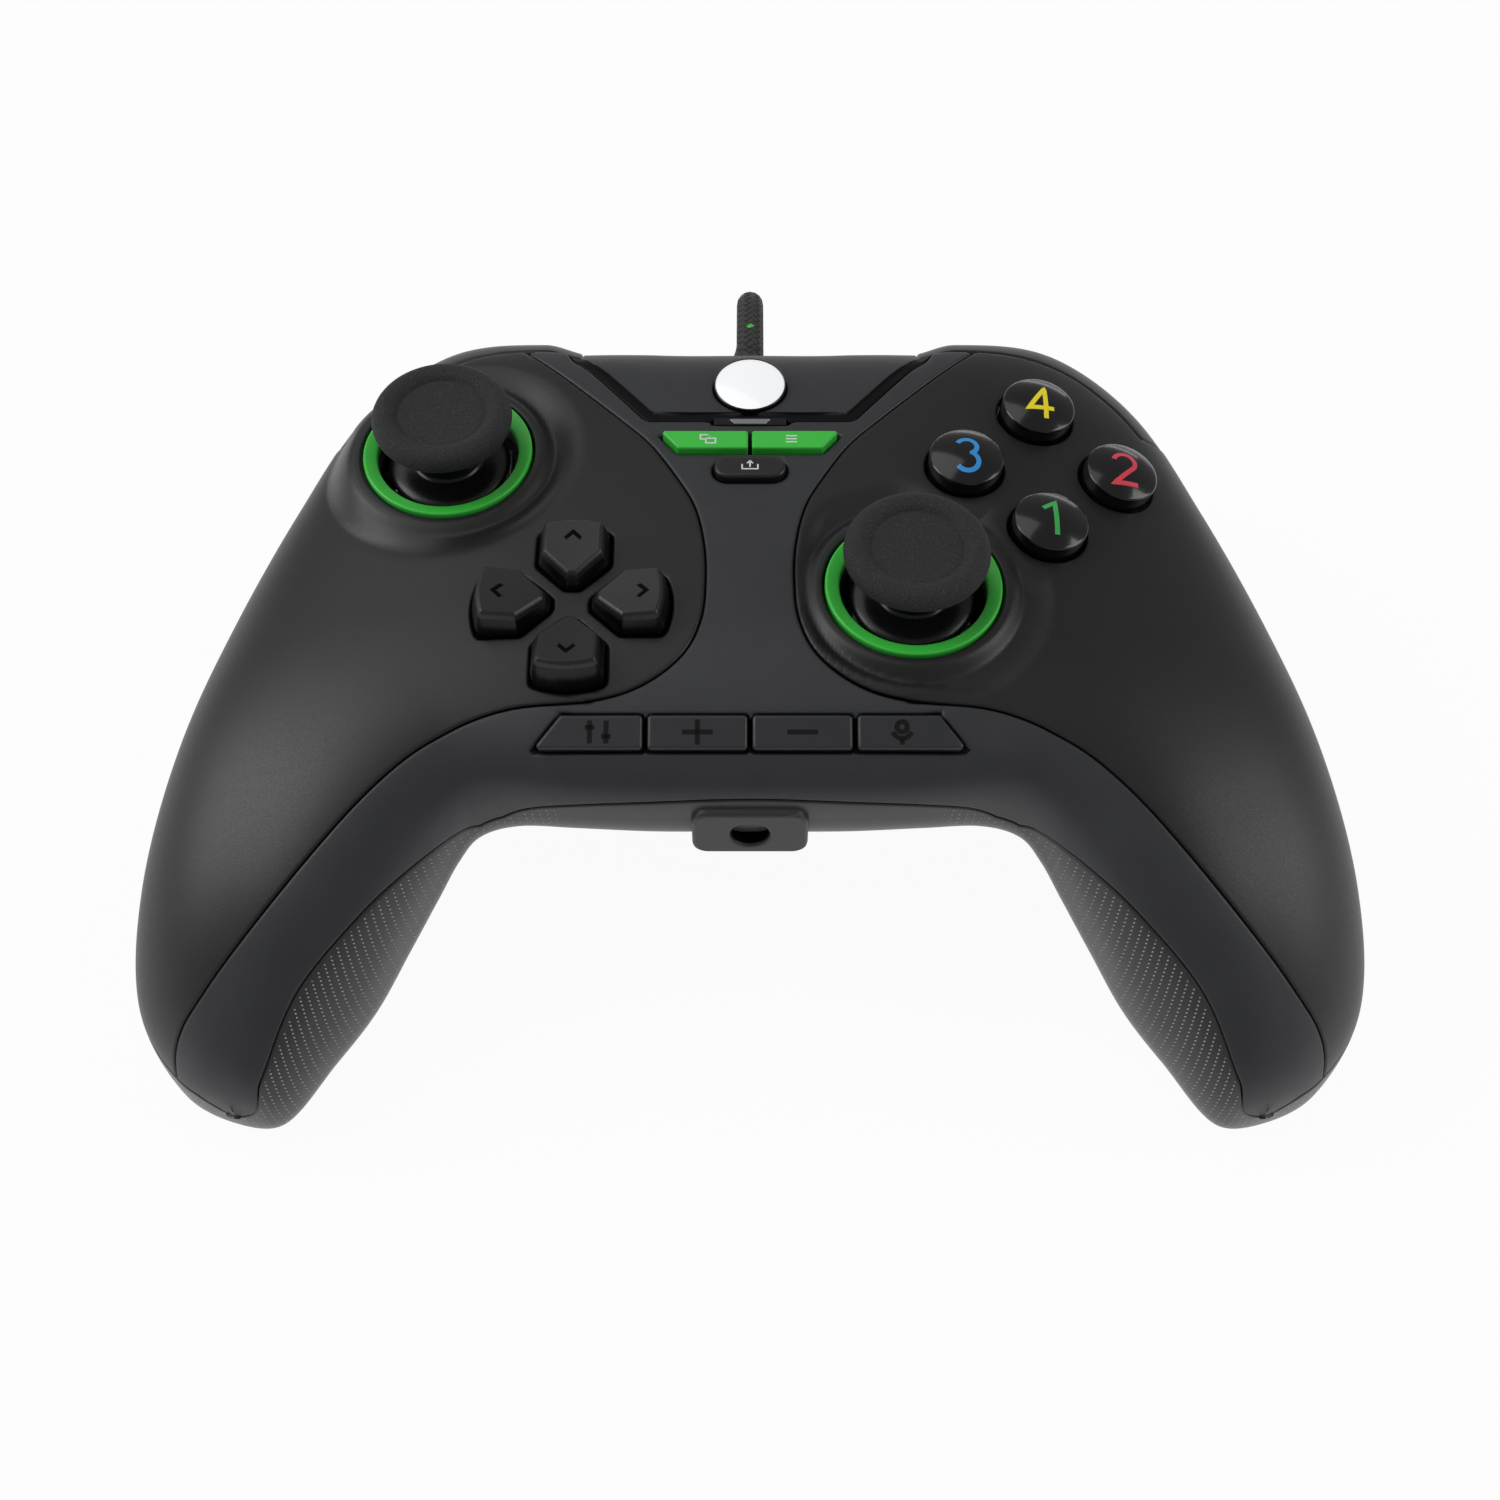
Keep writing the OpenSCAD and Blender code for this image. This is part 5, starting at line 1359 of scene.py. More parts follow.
class Sticks:
    """Both thumbsticks: ring, rubber cap and dome."""

    def cap_profile(self) -> Array:
        """Profile of the cap: flared underside, round rim, a step down into the shallow dish."""
        under = np.array([(0, 4.8), (5.0, 4.8), (5.8, 4.9), (6.5, 5.05)])
        rim = arc((7.55, 6.85), 1.75, -70, 100, 18)
        dish = np.array([(6.7, 8.4), (6.3, 8.16), (6.05, 7.95), (5.95, 7.8), (5.85, 7.74), (5.7, 7.76)])
        x = np.linspace(0.9, 0, 8)
        bowl = np.column_stack([5.7 * x, 7.5 + 0.26 * x * x])
        return np.vstack([under, rim, dish, bowl])

    def dome_profile(self) -> Array:
        """Profile of the dome and the neck that flares into the cap, about the gimbal's centre.

        The dome is a ball at its rim, and its radius falls by about 2 mm towards the neck.
        """
        post = np.array([(0, -2.4), (1.4, -2.4), (1.4, 6.9)])
        rise = np.linspace(33.5, 54, 18)
        flat = (1.9 * ramp(33, 57, rise))[:, None]
        out = np.column_stack([np.cos(np.radians(rise)), np.sin(np.radians(rise))])
        neck = np.array([(4.5, 6.7), (4.3, 7.1), (4.2, 7.8), (4.2, 9.0), (4.28, 10.2), (4.6, 11.3),
                         (5.0, 12.0), (5.2, 12.3), (0, 12.3)])
        return np.vstack([post, (9.15 - flat[::-1]) * out[::-1], (9.9 - flat) * out, neck])

    def ring_profile(self) -> Array:
        """Profile of the ring: a rounded outer edge, a nearly level top and a round inner edge."""
        crest = arc((11.1, 0.2), 0.3, 0, 104, 6)
        bore = np.array([(9.82, 0.12), (9.62, 0.02), (9.53, -0.12), (9.5, -0.35), (9.5, -1.1)])
        return np.vstack([[(9.5, -1.1), (11.4, -1.1)], crest, bore])

    def seat_profile(self) -> Array:
        """Profile of the ring's dark foot, which lines the hole below it: black inner plastic, which also
        paints the shade inside the ring's bore in place of the ring's own green wall.
        """
        return np.array([(9.5, -3.2), (11.55, -3.2), (11.55, -1.6), (11.38, -1.12), (9.52, -1.12),
                         (9.5, -3.2)])

    def build(self, side: int) -> None:
        """Put one stick in its place.

        Args:
            side: -1 for the left, 1 for the right
        """
        at = np.array(LAYOUT.left_stick if side < 0 else LAYOUT.right_stick)
        word = "left" if side < 0 else "right"
        points, faces = lathe(self.ring_profile(), 128)
        Piece(word + "_ring", points + at, faces, Finish.GREEN, slot="key_green").put(word + "_stick_ring")
        # the dark foot stands where the ring's bore would show green, and paints the shade in it
        points, faces = lathe(self.seat_profile(), 128)
        Piece(word + "_ring_foot", points + at, faces, Finish.INNER, slot="inner_black").put()
        points, faces = lathe(self.cap_profile(), 128)
        body = word + "_stick"
        Piece(word + "_cap", points + at, faces, Finish.RUBBER, body, "cap_rubber").put(word + "_stick_cap")
        points, faces = lathe(self.dome_profile(), 96)
        lower = at - np.array([0, 0, 7.5])
        Piece(word + "_dome", points + lower, faces, Finish.DOME, body, "key_black").put(word + "_stick_dome")


class FaceButtons:
    """Four round buttons with a numeral each."""

    def profile(self) -> Array:
        """Profile of a button: flange, straight side, small step and a domed top."""
        foot = np.array([(0, -5.9), (6, -5.9), (6, -4.9), (5, -4.9)])
        edge = arc((4.65, 1.85), 0.35, 0, 60, 5)
        a = np.linspace(0.97, 0, 14)
        top = np.column_stack([4.72 * a, 2.2 + 1.0 * (1 - a * a)])
        return np.vstack([foot, edge, top])

    def height(self, x: Array, y: Array) -> Array:
        """Height of the domed top at a place."""
        return 2.2 + 1.0 * (1 - (x * x + y * y) / 4.72 ** 2)

    def numeral(self, number: int) -> list[Array]:
        """Strokes of a plain numeral, about the button's middle."""
        if number == 1:
            return [np.array([(-0.95, 1.15), (0.25, 1.95), (0.25, -1.95)])]
        if number == 2:
            head = arc((0, 0.85), 1.1, 165, -40, 16)
            return [np.vstack([head, [(-1.15, -1.8), (1.25, -1.8)]])]
        if number == 3:
            return [np.vstack([arc((-0.05, 0.95), 1.0, 150, -70, 14)]), arc((-0.05, -0.9), 1.1, 75, -150, 16)]
        return [np.array([(0.45, -1.95), (0.45, 1.9), (-1.25, -0.75), (1.3, -0.75)])]

    def build(self) -> None:
        """Put the four buttons and their numerals in their places."""
        words = ("north", "west", "south", "east")
        inks = (Finish.INK_YELLOW, Finish.INK_BLUE, Finish.INK_GREEN, Finish.INK_RED)
        numbers = (4, 3, 1, 2)
        for word, place, ink, number in zip(words, LAYOUT.face_places(), inks, numbers):
            points, faces = lathe(self.profile(), 96)
            at = LAYOUT.on_face(points, place)
            body = "face_" + word
            Piece("button_" + word, at, faces, Finish.GLOSS, body, "key_black").put("face_button_" + word)
            strokes = [ribbon(1.35 * line - np.array([0, 0.4]), 0.66, self.height, 0.03)
                       for line in self.numeral(number)]
            points, faces = joined(strokes)
            Piece("numeral_" + word, LAYOUT.on_face(points, place), faces, ink, body, "lens_white").put()


class DirectionPad:
    """Four separate keys, each with a chevron drawn as a near-black ribbon on its top, which paints the shade
    of a sunk groove.
    """

    words: tuple[str, ...] = ("up", "left", "down", "right")

    def dish(self, u: Array, v: Array) -> Array:
        """Rise of the tops: each key climbs from the middle of the pad outwards."""
        return 0.12 * (np.hypot(u - LAYOUT.dpad[0], v - LAYOUT.dpad[1]) - 8.5)

    def build(self) -> None:
        """Put the four keys in their places: a glossy skirt with leaning sides, coloured far darker than the
        top to paint the shade on them, and a flat top.
        """
        skirt = [(0.0, -4.9), (0.0, 0.3), (0.25, 1.1), (0.56, 1.9), (0.58, 1.9)]
        levels = [(0.57, 1.86), (0.55, 1.9), (0.68, 2.25), (0.76, 2.48), (0.92, 2.72), (1.14, 2.87),
                  (1.2, 2.9), (1.23, 2.9)]
        for k, (word, corners) in enumerate(zip(self.words, LAYOUT.dpad_keys())):
            body = "direction_" + word
            points, faces = stacked(corners, 1.25, skirt)
            points[:, 2] += self.dish(points[:, 0], points[:, 1]) * ramp(0.3, 1.85, points[:, 2])
            Piece("skirt_" + word, points, faces, Finish.SKIRT, body, "key_black").put()
            points, faces = stacked(corners, 1.25, levels)
            points[:, 2] += self.dish(points[:, 0], points[:, 1])
            Piece("key_" + word, points, faces, Finish.DIRECTION, body, "key_matte").put("dpad_" + word)
            c, s = math.cos(k * math.pi / 2), math.sin(k * math.pi / 2)
            line = np.array([(-1.7, 8.0), (0, 9.7), (1.7, 8.0)]) @ np.array([[c, s], [-s, c]])
            placed = line + np.array(LAYOUT.dpad)
            # the chevron's groove is not cut: a near-black ribbon on the top paints its shade
            points, faces = ribbon(placed, 0.55, lambda x, y: 2.9 + self.dish(x, y), 0.02)
            Piece("mark_" + word, points, faces, Finish.INK_BLACK, body, "key_black").put()


class SmallKeys:
    """Guide key, the coloured pair, the pill-shaped key, the function row and the indicator."""

    def flat(self, top: float) -> Callable[[Array, Array], Array]:
        """A level surface at a height."""
        return lambda x, y: np.full(x.shape, top)

    def guide(self) -> None:
        """Make the guide key: a white lens with a painted glow, in a thin black rim."""
        rim = np.vstack([[(3.9, -4.7), (5.0, -4.7)], arc((4.88, 0.1), 0.12, 0, 120, 5),
                         [(4.76, 0.05), (3.9, 0.0)]])
        points, faces = lathe(np.vstack([rim, rim[:1]]), 96)
        place = np.array([0, LAYOUT.guide_v, 0])
        Piece("guide_rim", points + place, faces, Finish.GLOSS, "guide_key", "key_black").put()
        a = np.linspace(1, 0, 14)
        top = np.column_stack([4.77 * a, 0.1 + 0.5 * (1 - a * a)])
        stem = [(0, -9.6), (1.6, -9.6), (1.6, -5.7), (5.8, -5.7), (5.8, -4.7), (4.77, -4.7)]
        points, faces = lathe(np.vstack([stem, top]), 96)
        # the lens's finish paints a glow on it
        Piece("guide_lens", points + place, faces, Finish.WHITE, "guide_key",
              "lens_white").put("guide_button")

    def pair(self) -> None:
        """Make the two coloured keys and their marks."""
        levels = [(0.0, -2.8), (0.0, 0.5)] + edge_round(0.3, 0.85)
        lines = np.array([(-0.75, 0), (0.75, 0)])
        boxes = [np.array([(-0.35, -0.05), (-1.1, -0.05), (-1.1, 0.75), (0.15, 0.75), (0.15, 0.45)]),
                 np.array([(-0.35, 0.1), (0.95, 0.1), (0.95, -0.75), (-0.35, -0.75), (-0.35, 0.1)])]
        for side, word in ((-1, "view"), (1, "menu")):
            corners = LAYOUT.pair(0.26)
            form = stacked(corners, 0.38, levels)
            stem = lathe(np.array([(0, -9.6), (1.6, -9.6), (1.6, -2.8), (0, -2.8)]), 32)
            form = joined([form, (stem[0] + np.array([5, 13.6, 0]), stem[1])])
            points, faces = form if side > 0 else flipped(form)
            body = word + "_key"
            Piece(word + "_cap", points, faces, Finish.GREEN, body, "key_green").put(word + "_button")
            middle = np.array([side * 5.6, 13.6])
            strokes = boxes if side < 0 else [lines + np.array([0, 0.55 * k]) for k in (-1, 0, 1)]
            marks = joined([ribbon(s + middle, 0.2, self.flat(0.85), 0.02) for s in strokes])
            Piece(word + "_mark", marks[0], marks[1], Finish.INK_WHITE, body, "lens_white").put()

    def share(self) -> None:
        """Make the pill-shaped key with a tray and an arrow on it."""
        levels = [(0.0, -2.8), (0.0, 0.5)] + edge_round(0.42, 0.95)
        form = stacked(LAYOUT.share(), 1.8, levels)
        stem = lathe(np.array([(0, -9.6), (1.6, -9.6), (1.6, -2.8), (0, -2.8)]), 32)
        points, faces = joined([form, (stem[0] + np.array([0, LAYOUT.share_v, 0]), stem[1])])
        Piece("share_cap", points, faces, Finish.SATIN, "share_key", "key_matte").put("share_button")
        middle = np.array([0, LAYOUT.share_v + 0.1])
        strokes = [np.array([(-1.05, 0.2), (-1.05, -0.65), (1.05, -0.65), (1.05, 0.2)]),
                   np.array([(0, -0.3), (0, 0.75)]),
                   np.array([(-0.4, 0.35), (0, 0.8), (0.4, 0.35)])]
        marks = joined([ribbon(s + middle, 0.2, self.flat(0.95), 0.02) for s in strokes])
        Piece("share_mark", marks[0], marks[1], Finish.INK_WHITE, "share_key", "lens_white").put()

    def row(self) -> None:
        """Make the four function keys and their faint marks, whose dark paints the shade of debossed icons.
        """
        words = ("profile", "plus", "minus", "mute")
        levels = [(0.0, -4.0), (0.0, 0.35)] + edge_round(0.42, 0.85)
        strokes = {
            "profile": [np.array([(-0.7, -1), (-0.7, 1)]), np.array([(0.7, -1), (0.7, 1)]),
                        np.array([(-1.1, 0.4), (-0.3, 0.4)]), np.array([(0.3, -0.4), (1.1, -0.4)])],
            "plus": [np.array([(-1.3, 0), (1.3, 0)]), np.array([(0, -1.1), (0, 1.1)])],
            "minus": [np.array([(-1.3, 0), (1.3, 0)])],
            "mute": [arc((0, 0.45), 0.45, 0, 360, 16), arc((0, 0.3), 0.85, 200, 340, 10),
                     np.array([(0, -0.55), (0, -1.1)])]}
        middles = {"profile": -18.8, "plus": -6.5, "minus": 6.5, "mute": 18.8}
        for word, corners in zip(words, LAYOUT.row_keys()):
            points, faces = stacked(corners, 0.5, levels)
            body = "function_" + word
            at = LAYOUT.from_row(points)
            Piece("row_" + word, at, faces, Finish.ROW, body, "key_matte").put("function_key_" + word)
            shift = np.array([middles[word], 0])
            # the marks lie on the keys' tops; their dark paints the shade of the debossed icons
            marks = joined([ribbon(1.45 * s + shift, 0.62, self.flat(0.85), 0.015) for s in strokes[word]])
            at = LAYOUT.from_row(marks[0])
            Piece("row_mark_" + word, at, marks[1], Finish.INK_FAINT, body, "key_black").put()

    def indicator(self) -> None:
        """Make the indicator: a gloss black bar with a grey window in it."""
        bar = stacked(np.array([(-5, 17.2), (5, 17.2), (5, 18.5), (-5, 18.5)]), 0.2,
                      [(0, -2.1), (0, -0.3), (0.06, -0.22)])
        Piece("indicator_bar", bar[0], bar[1], Finish.GLOSS, slot="key_black").put("indicator_lens")
        window = stacked(np.array([(-2.1, 17.4), (2.1, 17.4), (2.9, 18.3), (-2.9, 18.3)]), 0.12,
                         [(0, -0.6), (0, -0.2), (0.05, -0.16)])
        Piece("indicator_window", window[0], window[1], Finish.WINDOW, slot="lens_grey").put()

    def build(self) -> None:
        """Put all small keys in their places."""
        self.guide()
        self.pair()
        self.share()
        self.row()
        self.indicator()


class Shoulders:
    """Bumpers, triggers and back buttons."""

    def bumper(self, side: int) -> None:
        """Make one bumper: skin inside the bumper's outline, down to its lower edge."""
        patch = SKIN.patch(np.sort(side * np.linspace(0.05, 0.55, 150)), 95, 250, 110, 0.15)
        border = Outline(LAYOUT.bumper()).inside(side * patch.u, patch.v) - 0.12
        patch.set(Column.EDGE, np.minimum(border, patch.w + 12))
        patch.data[:, 2] -= 1.2 * (1 - ramp(23.4, 29.0, side * patch.u)) * ramp(-9, -5, patch.w)
        patch = patch.renormal()
        patch = patch.cut(Column.EDGE, 0.0).eased(0.6, (0.08, 0.2, 0.38, 0.6))
        points, faces = patch.walled(1.6)
        word = "left" if side < 0 else "right"
        Piece("bumper_" + word + "_skin", points, faces, Finish.BUMPER, "bumper_" + word + "_arm",
              "key_black").put("bumper_" + word)

    def blade(self) -> Array:
        """Side view of a trigger: a hooked blade, as rear place and height."""
        foot = (-STAND.lift + 0.1 - 36 * math.sin(STAND.tilt)) / math.cos(STAND.tilt)
        points = [(34.5, -15.2), (39.5, -15.8), (42, -18.2), (43, -23), (41.6, -29), (40, -35),
                  (39.6, foot + 3), (38.4, foot + 0.6), (36, foot), (34.6, foot + 1.6), (35.6, -36),
                  (36.8, -30), (36.6, -24), (34, -18.6), (32.5, -16.8)]
        return spline(np.array(points), 8, closed=True)

    def trigger(self, side: int) -> None:
        """Make one trigger: the blade carried across, drawn in at both sides, on two ears."""
        line = self.blade()
        ahead = np.roll(line, -1, 0) - np.roll(line, 1, 0)
        ahead /= np.linalg.norm(ahead, axis=1, keepdims=True)
        inward = np.column_stack([ahead[:, 1], -ahead[:, 0]])
        a = np.linspace(0, np.pi / 2, 7)
        shrink = 1.1 * (1 - np.sin(a))
        start = 34 + 1.1 * (1 - np.cos(a))
        u = np.concatenate([start, (86.6 - start)[::-1]])
        inset = np.concatenate([shrink, shrink[::-1]])
        rings = line[None] + inward[None] * inset[:, None, None]
        form = loft(np.concatenate([np.repeat(u[:, None, None], len(line), 1), rings], -1)[:, ::-1])
        hub = arc((24, -18.2), 2.6, 100, 260, 14)
        ear = np.vstack([hub, [(37.5, -23.5), (37.5, -16.4)]])[::-1]
        parts = [form]
        for low in (34.15, 46.5):
            ends = [np.column_stack([np.full(len(ear), x), ear]) for x in (low, low + 4)]
            parts.append(loft(np.stack(ends)[:, ::-1]))
        points, faces = joined(parts) if side > 0 else flipped(joined(parts))
        word = "left" if side < 0 else "right"
        Piece("trigger_" + word + "_blade", points, faces, Finish.SATIN, "trigger_" + word + "_arm",
              "key_black").put("trigger_" + word)

    def back_button(self, side: int) -> None:
        """Make one back button: skin inside its outline, raised and rounded."""
        patch = SKIN.patch(np.sort(side * np.linspace(0.25, 0.85, 110)), 200, 350, 90, -1.2)
        patch.set(Column.EDGE,
                  np.minimum(Outline(LAYOUT.back_button()).inside(side * patch.u, patch.v), -16 - patch.w))
        patch = patch.cut(Column.EDGE, 0.0).eased(0.9, (0.1, 0.25, 0.5, 0.9))
        points, faces = patch.walled(2.6)
        word = "left" if side < 0 else "right"
        Piece("back_" + word + "_pad", points, faces, Finish.SATIN, "back_" + word,
              "key_matte").put("back_button_" + word)

    def build(self) -> None:
        """Put both sides in their places."""
        for side in (-1, 1):
            self.bumper(side)
            self.trigger(side)
            self.back_button(side)


@dataclass
class Cable:
    """The braided cable: strain relief, lead, coil, tail, tie and plug, lying as the solids do."""

    diameter: float = 4.0
    coil_r: float = 30.6
    pitch: float = 4.45
    turns: float = 4.25
    layers: int = 4
    middle: float = 29.5
    low: float = 2.9

    def coil(self) -> Array:
        """Route of the coil: rings that step in and out by a pitch each turn, a layer at a time.

        The radius is the outermost one less the pitch times a triangle wave of the turn. The
        height climbs by a pitch in the half turn round each change of layer.

        Returns:
            points on the table
        """
        total = self.turns * self.layers
        turn = np.linspace(0, total, round(total * 48) + 1)
        k = turn % (2 * self.turns)
        wave = np.where(k < self.turns, k, 2 * self.turns - k)
        change = np.round(turn / self.turns)
        climb = change - 1 + np.clip((turn - change * self.turns + 0.25) / 0.5, 0, 1)
        layer = np.where(change == 0, 0, np.where(change == self.layers, self.layers - 1, climb))
        r = self.coil_r - self.pitch * wave
        a = math.pi + 2 * np.pi * turn
        return np.column_stack([r * np.cos(a), self.middle + r * np.sin(a), self.low + self.pitch * layer])

    def route(self) -> Array:
        """The whole route from the strain relief to the plug, on the table."""
        coil = self.coil()
        tip = (STAND.place(np.array([[0, 40.5, -12.0]])) / MM)[0] - np.array([0, STAND.back, 0])
        out = np.array([0, math.cos(STAND.tilt), math.sin(STAND.tilt)])
        d = self.diameter
        start = coil[0] + np.array([0, d, 0])
        end = coil[-1] - np.array([0, d, 0])
        lead = [tip, tip + 1.6 * out, tip + d * out, (0, 54, 34.2), (0, 58.5, 31), (0, 62, 26.2),
                (0, 63.9, 20), (-1.2, 64.9, 13), (-6.2, 65, 7.4), (-14.5, 62.5, 3.6), (-22.5, 57.6, 2.1),
                (-28.5, 50, 2.3), (-30.6, 42, 2.8),
                start + np.array([0, d, 0]), start]
        tail = [end, end - np.array([0, d, 0]), end - np.array([0, 2 * d, 0]), (-32, 11, 14.4),
                (-33, 5, 11.2), (-32, -1, 8.2), (-29.7, -5.4, 6), (-25, -9.1, 4.6),
                (-19, -10.9, 4.2), (-15, -10.9, 4.2)]
        inner = tip - 3 * out
        return np.vstack([[inner], spline(np.array(lead), 6), coil, spline(np.array(tail), 6)])

    def jacket(self) -> bpy.types.Object:
        """Make the braided jacket along the whole route.

        Returns:
            the cord
        """
        path = self.route()
        hop = np.linalg.norm(np.diff(path, axis=0), axis=1)
        path = path[np.concatenate([[True], hop > 1e-3])]
        rings, _, run = tube(path, np.full(len(path), self.diameter / 2), 16)
        rows, sides = rings.shape[:2]
        faces = grid_faces(rows, sides, True)
        around = faces % sides
        wrapped = np.where((around == 0) & (around.max(1, keepdims=True) == sides - 1), sides, around)
        lengths = np.stack([wrapped / sides, run[faces // sides]], -1)
        points = STAND.table(rings.reshape(-1, 3))
        ends = np.stack([STAND.table(path[:1])[0], STAND.table(path[-1:])[0]])
        count = rows * sides
        j = np.arange(sides)
        first = np.column_stack([np.full(sides, count), (j + 1) % sides, j])
        last = (rows - 1) * sides
        final = np.column_stack([np.full(sides, count + 1), last + j, last + (j + 1) % sides])
        faces = np.concatenate([faces, first, final])
        lengths = np.concatenate([lengths, np.zeros((2 * sides, 3, 2))])
        piece = Piece("braided_cable", np.concatenate([points, ends]), faces, Finish.BRAID, slot="cord_braid",
                      lengths=lengths)
        cord = piece.put("cable_lead", "cable_coil", "cable_tail", placed=False)
        self.tie()
        self.plug()
        return cord

    def tie(self) -> bpy.types.Object:
        """Make the tie: a flat band round the coil's turns."""
        corners = np.array([(8.65, 0.02), (33.65, 0.02), (33.65, 19.28), (8.65, 19.28)])
        rings = []
        for v, shrink in ((25.5, 0.12), (25.62, 0.0), (33.38, 0.0), (33.5, 0.12), (33.5, 0.75), (25.5, 0.75)):
            line = rounded(corners, 2.4, shrink, 10)
            rings.append(np.column_stack([line[:, 0], np.full(len(line), v), line[:, 1]]))
        full = np.stack(rings + [rings[0]])
        form = weld(full.reshape(-1, 3), grid_faces(len(full), full.shape[1], True))
        piece = Piece("strap_tie", STAND.table(form[0]), form[1], Finish.MOULDED_RUBBER, slot="cord_rubber")
        return piece.put("cable_tie", placed=False)

    def plug(self) -> list[bpy.types.Object]:
        """Make the plug: a rounded grip with ribs and a bright shell with its tongue.

        Returns:
            the pieces
        """
        box = np.array([(-7.5, -4.0), (7.5, -4.0), (7.5, 4.0), (-7.5, 4.0)])
        stations = [(-15.0, 2.6), (-14.6, 1.9), (-13.0, 1.3), (-9.0, 0.7), (-4.0, 0.35)]
        for rib in range(5):
            x = -3.0 + 1.8 * rib
            stations += [(x, 0.0), (x + 0.7, 0.0), (x + 0.9, 0.3), (x + 1.6, 0.3)]
        stations += [(6.2, 0.0), (6.7, 0.1), (7.0, 0.5)]
        place = np.array([0, -10.9, 4.2])
        rings = []
        for x, inset in stations:
            outline = rounded(box, 2.8, inset, 8)
            rings.append(np.column_stack([np.full(len(outline), x), outline]))
        points, faces = loft(np.stack(rings))
        grip = Piece("plug_grip", STAND.table(points + place), faces, Finish.MOULDED_RUBBER,
                     slot="cord_rubber")
        made = [grip.put("usb_plug", placed=False)]
        shell = np.array([(-6.0, -2.25), (6.0, -2.25), (6.0, 2.25), (-6.0, 2.25)])
        rings = []
        for x, inset in ((6.5, 0.0), (18.7, 0.0), (19.0, 0.15), (18.9, 0.4), (8.0, 0.4)):
            outline = rounded(shell, 0.6, inset, 6)
            rings.append(np.column_stack([np.full(len(outline), x), outline]))
        points, faces = loft(np.stack(rings))
        made.append(Piece("plug_shell", STAND.table(points + place), faces, Finish.STEEL,
                          slot="bright_steel").put(placed=False))
        tongue = np.array([(-5.3, 0.1), (5.3, 0.1), (5.3, 1.7), (-5.3, 1.7)])
        rings = []
        for x, inset in ((8.2, 0.0), (18.3, 0.0), (18.5, 0.15)):
            outline = rounded(tongue, 0.25, inset, 4)
            rings.append(np.column_stack([np.full(len(outline), x), outline]))
        points, faces = loft(np.stack(rings))
        made.append(Piece("plug_tongue", STAND.table(points + place), faces, Finish.INK_WHITE,
                          slot="cord_rubber").put(placed=False))
        return made

    def relief(self) -> None:
        """Make the strain relief: a flange, a neck and a taper with rounded ribs."""
        profile = [(0, 0), (4.3, 0), (4.3, 0.6), (3.4, 0.7), (3.4, 5.4)]
        for k in range(2):
            z = 5.6 + 2.6 * k
            r = 3.4 - 0.045 * (z - 5.6)
            profile += [(r - 0.35, z), (r - 0.35, z + 0.7), (r, z + 0.95), (r, z + 2.2), (r - 0.08, z + 2.4)]
        profile += [(2.7, 12.0), (2.4, 12.35), (0, 12.4)]
        points, faces = lathe(np.array(profile), 64)
        turned = np.column_stack([points[:, 0], 28.1 + points[:, 2], -12.0 - points[:, 1]])
        Piece("ribbed_relief", turned, faces, Finish.MOULDED_RUBBER, slot="cord_rubber").put("strain_relief")


class Inside:
    """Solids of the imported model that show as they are, and their finishes."""

    worn: dict[str, Finish] = {
        "trigger_pins": Finish.STEEL, "trigger_springs": Finish.STEEL, "case_screws": Finish.STEEL,
        "rumble_motor_left": Finish.STEEL, "rumble_motor_right": Finish.STEEL,
        "rumble_weight_left": Finish.STEEL, "rumble_weight_right": Finish.STEEL,
        "left_stick_housing": Finish.STEEL, "right_stick_housing": Finish.STEEL,
        "left_yoke_outer": Finish.INNER, "left_yoke_inner": Finish.INNER,
        "right_yoke_outer": Finish.INNER, "right_yoke_inner": Finish.INNER,
        "dpad_membrane": Finish.SOFT, "face_membrane": Finish.SOFT, "tact_switches": Finish.INNER,
        "main_board": Finish.BOARD, "audio_jack": Finish.INK_BLACK}

    def dress(self, nodes: dict[str, bpy.types.Object]) -> None:
        """Give each of these solids its material.

        Args:
            nodes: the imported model's objects by name
        """
        for name, finish in self.worn.items():
            nodes[name].data.materials.clear()
            nodes[name].data.materials.append(finish.made())
            LOG.info("%s wears %s", name, finish.value.name)


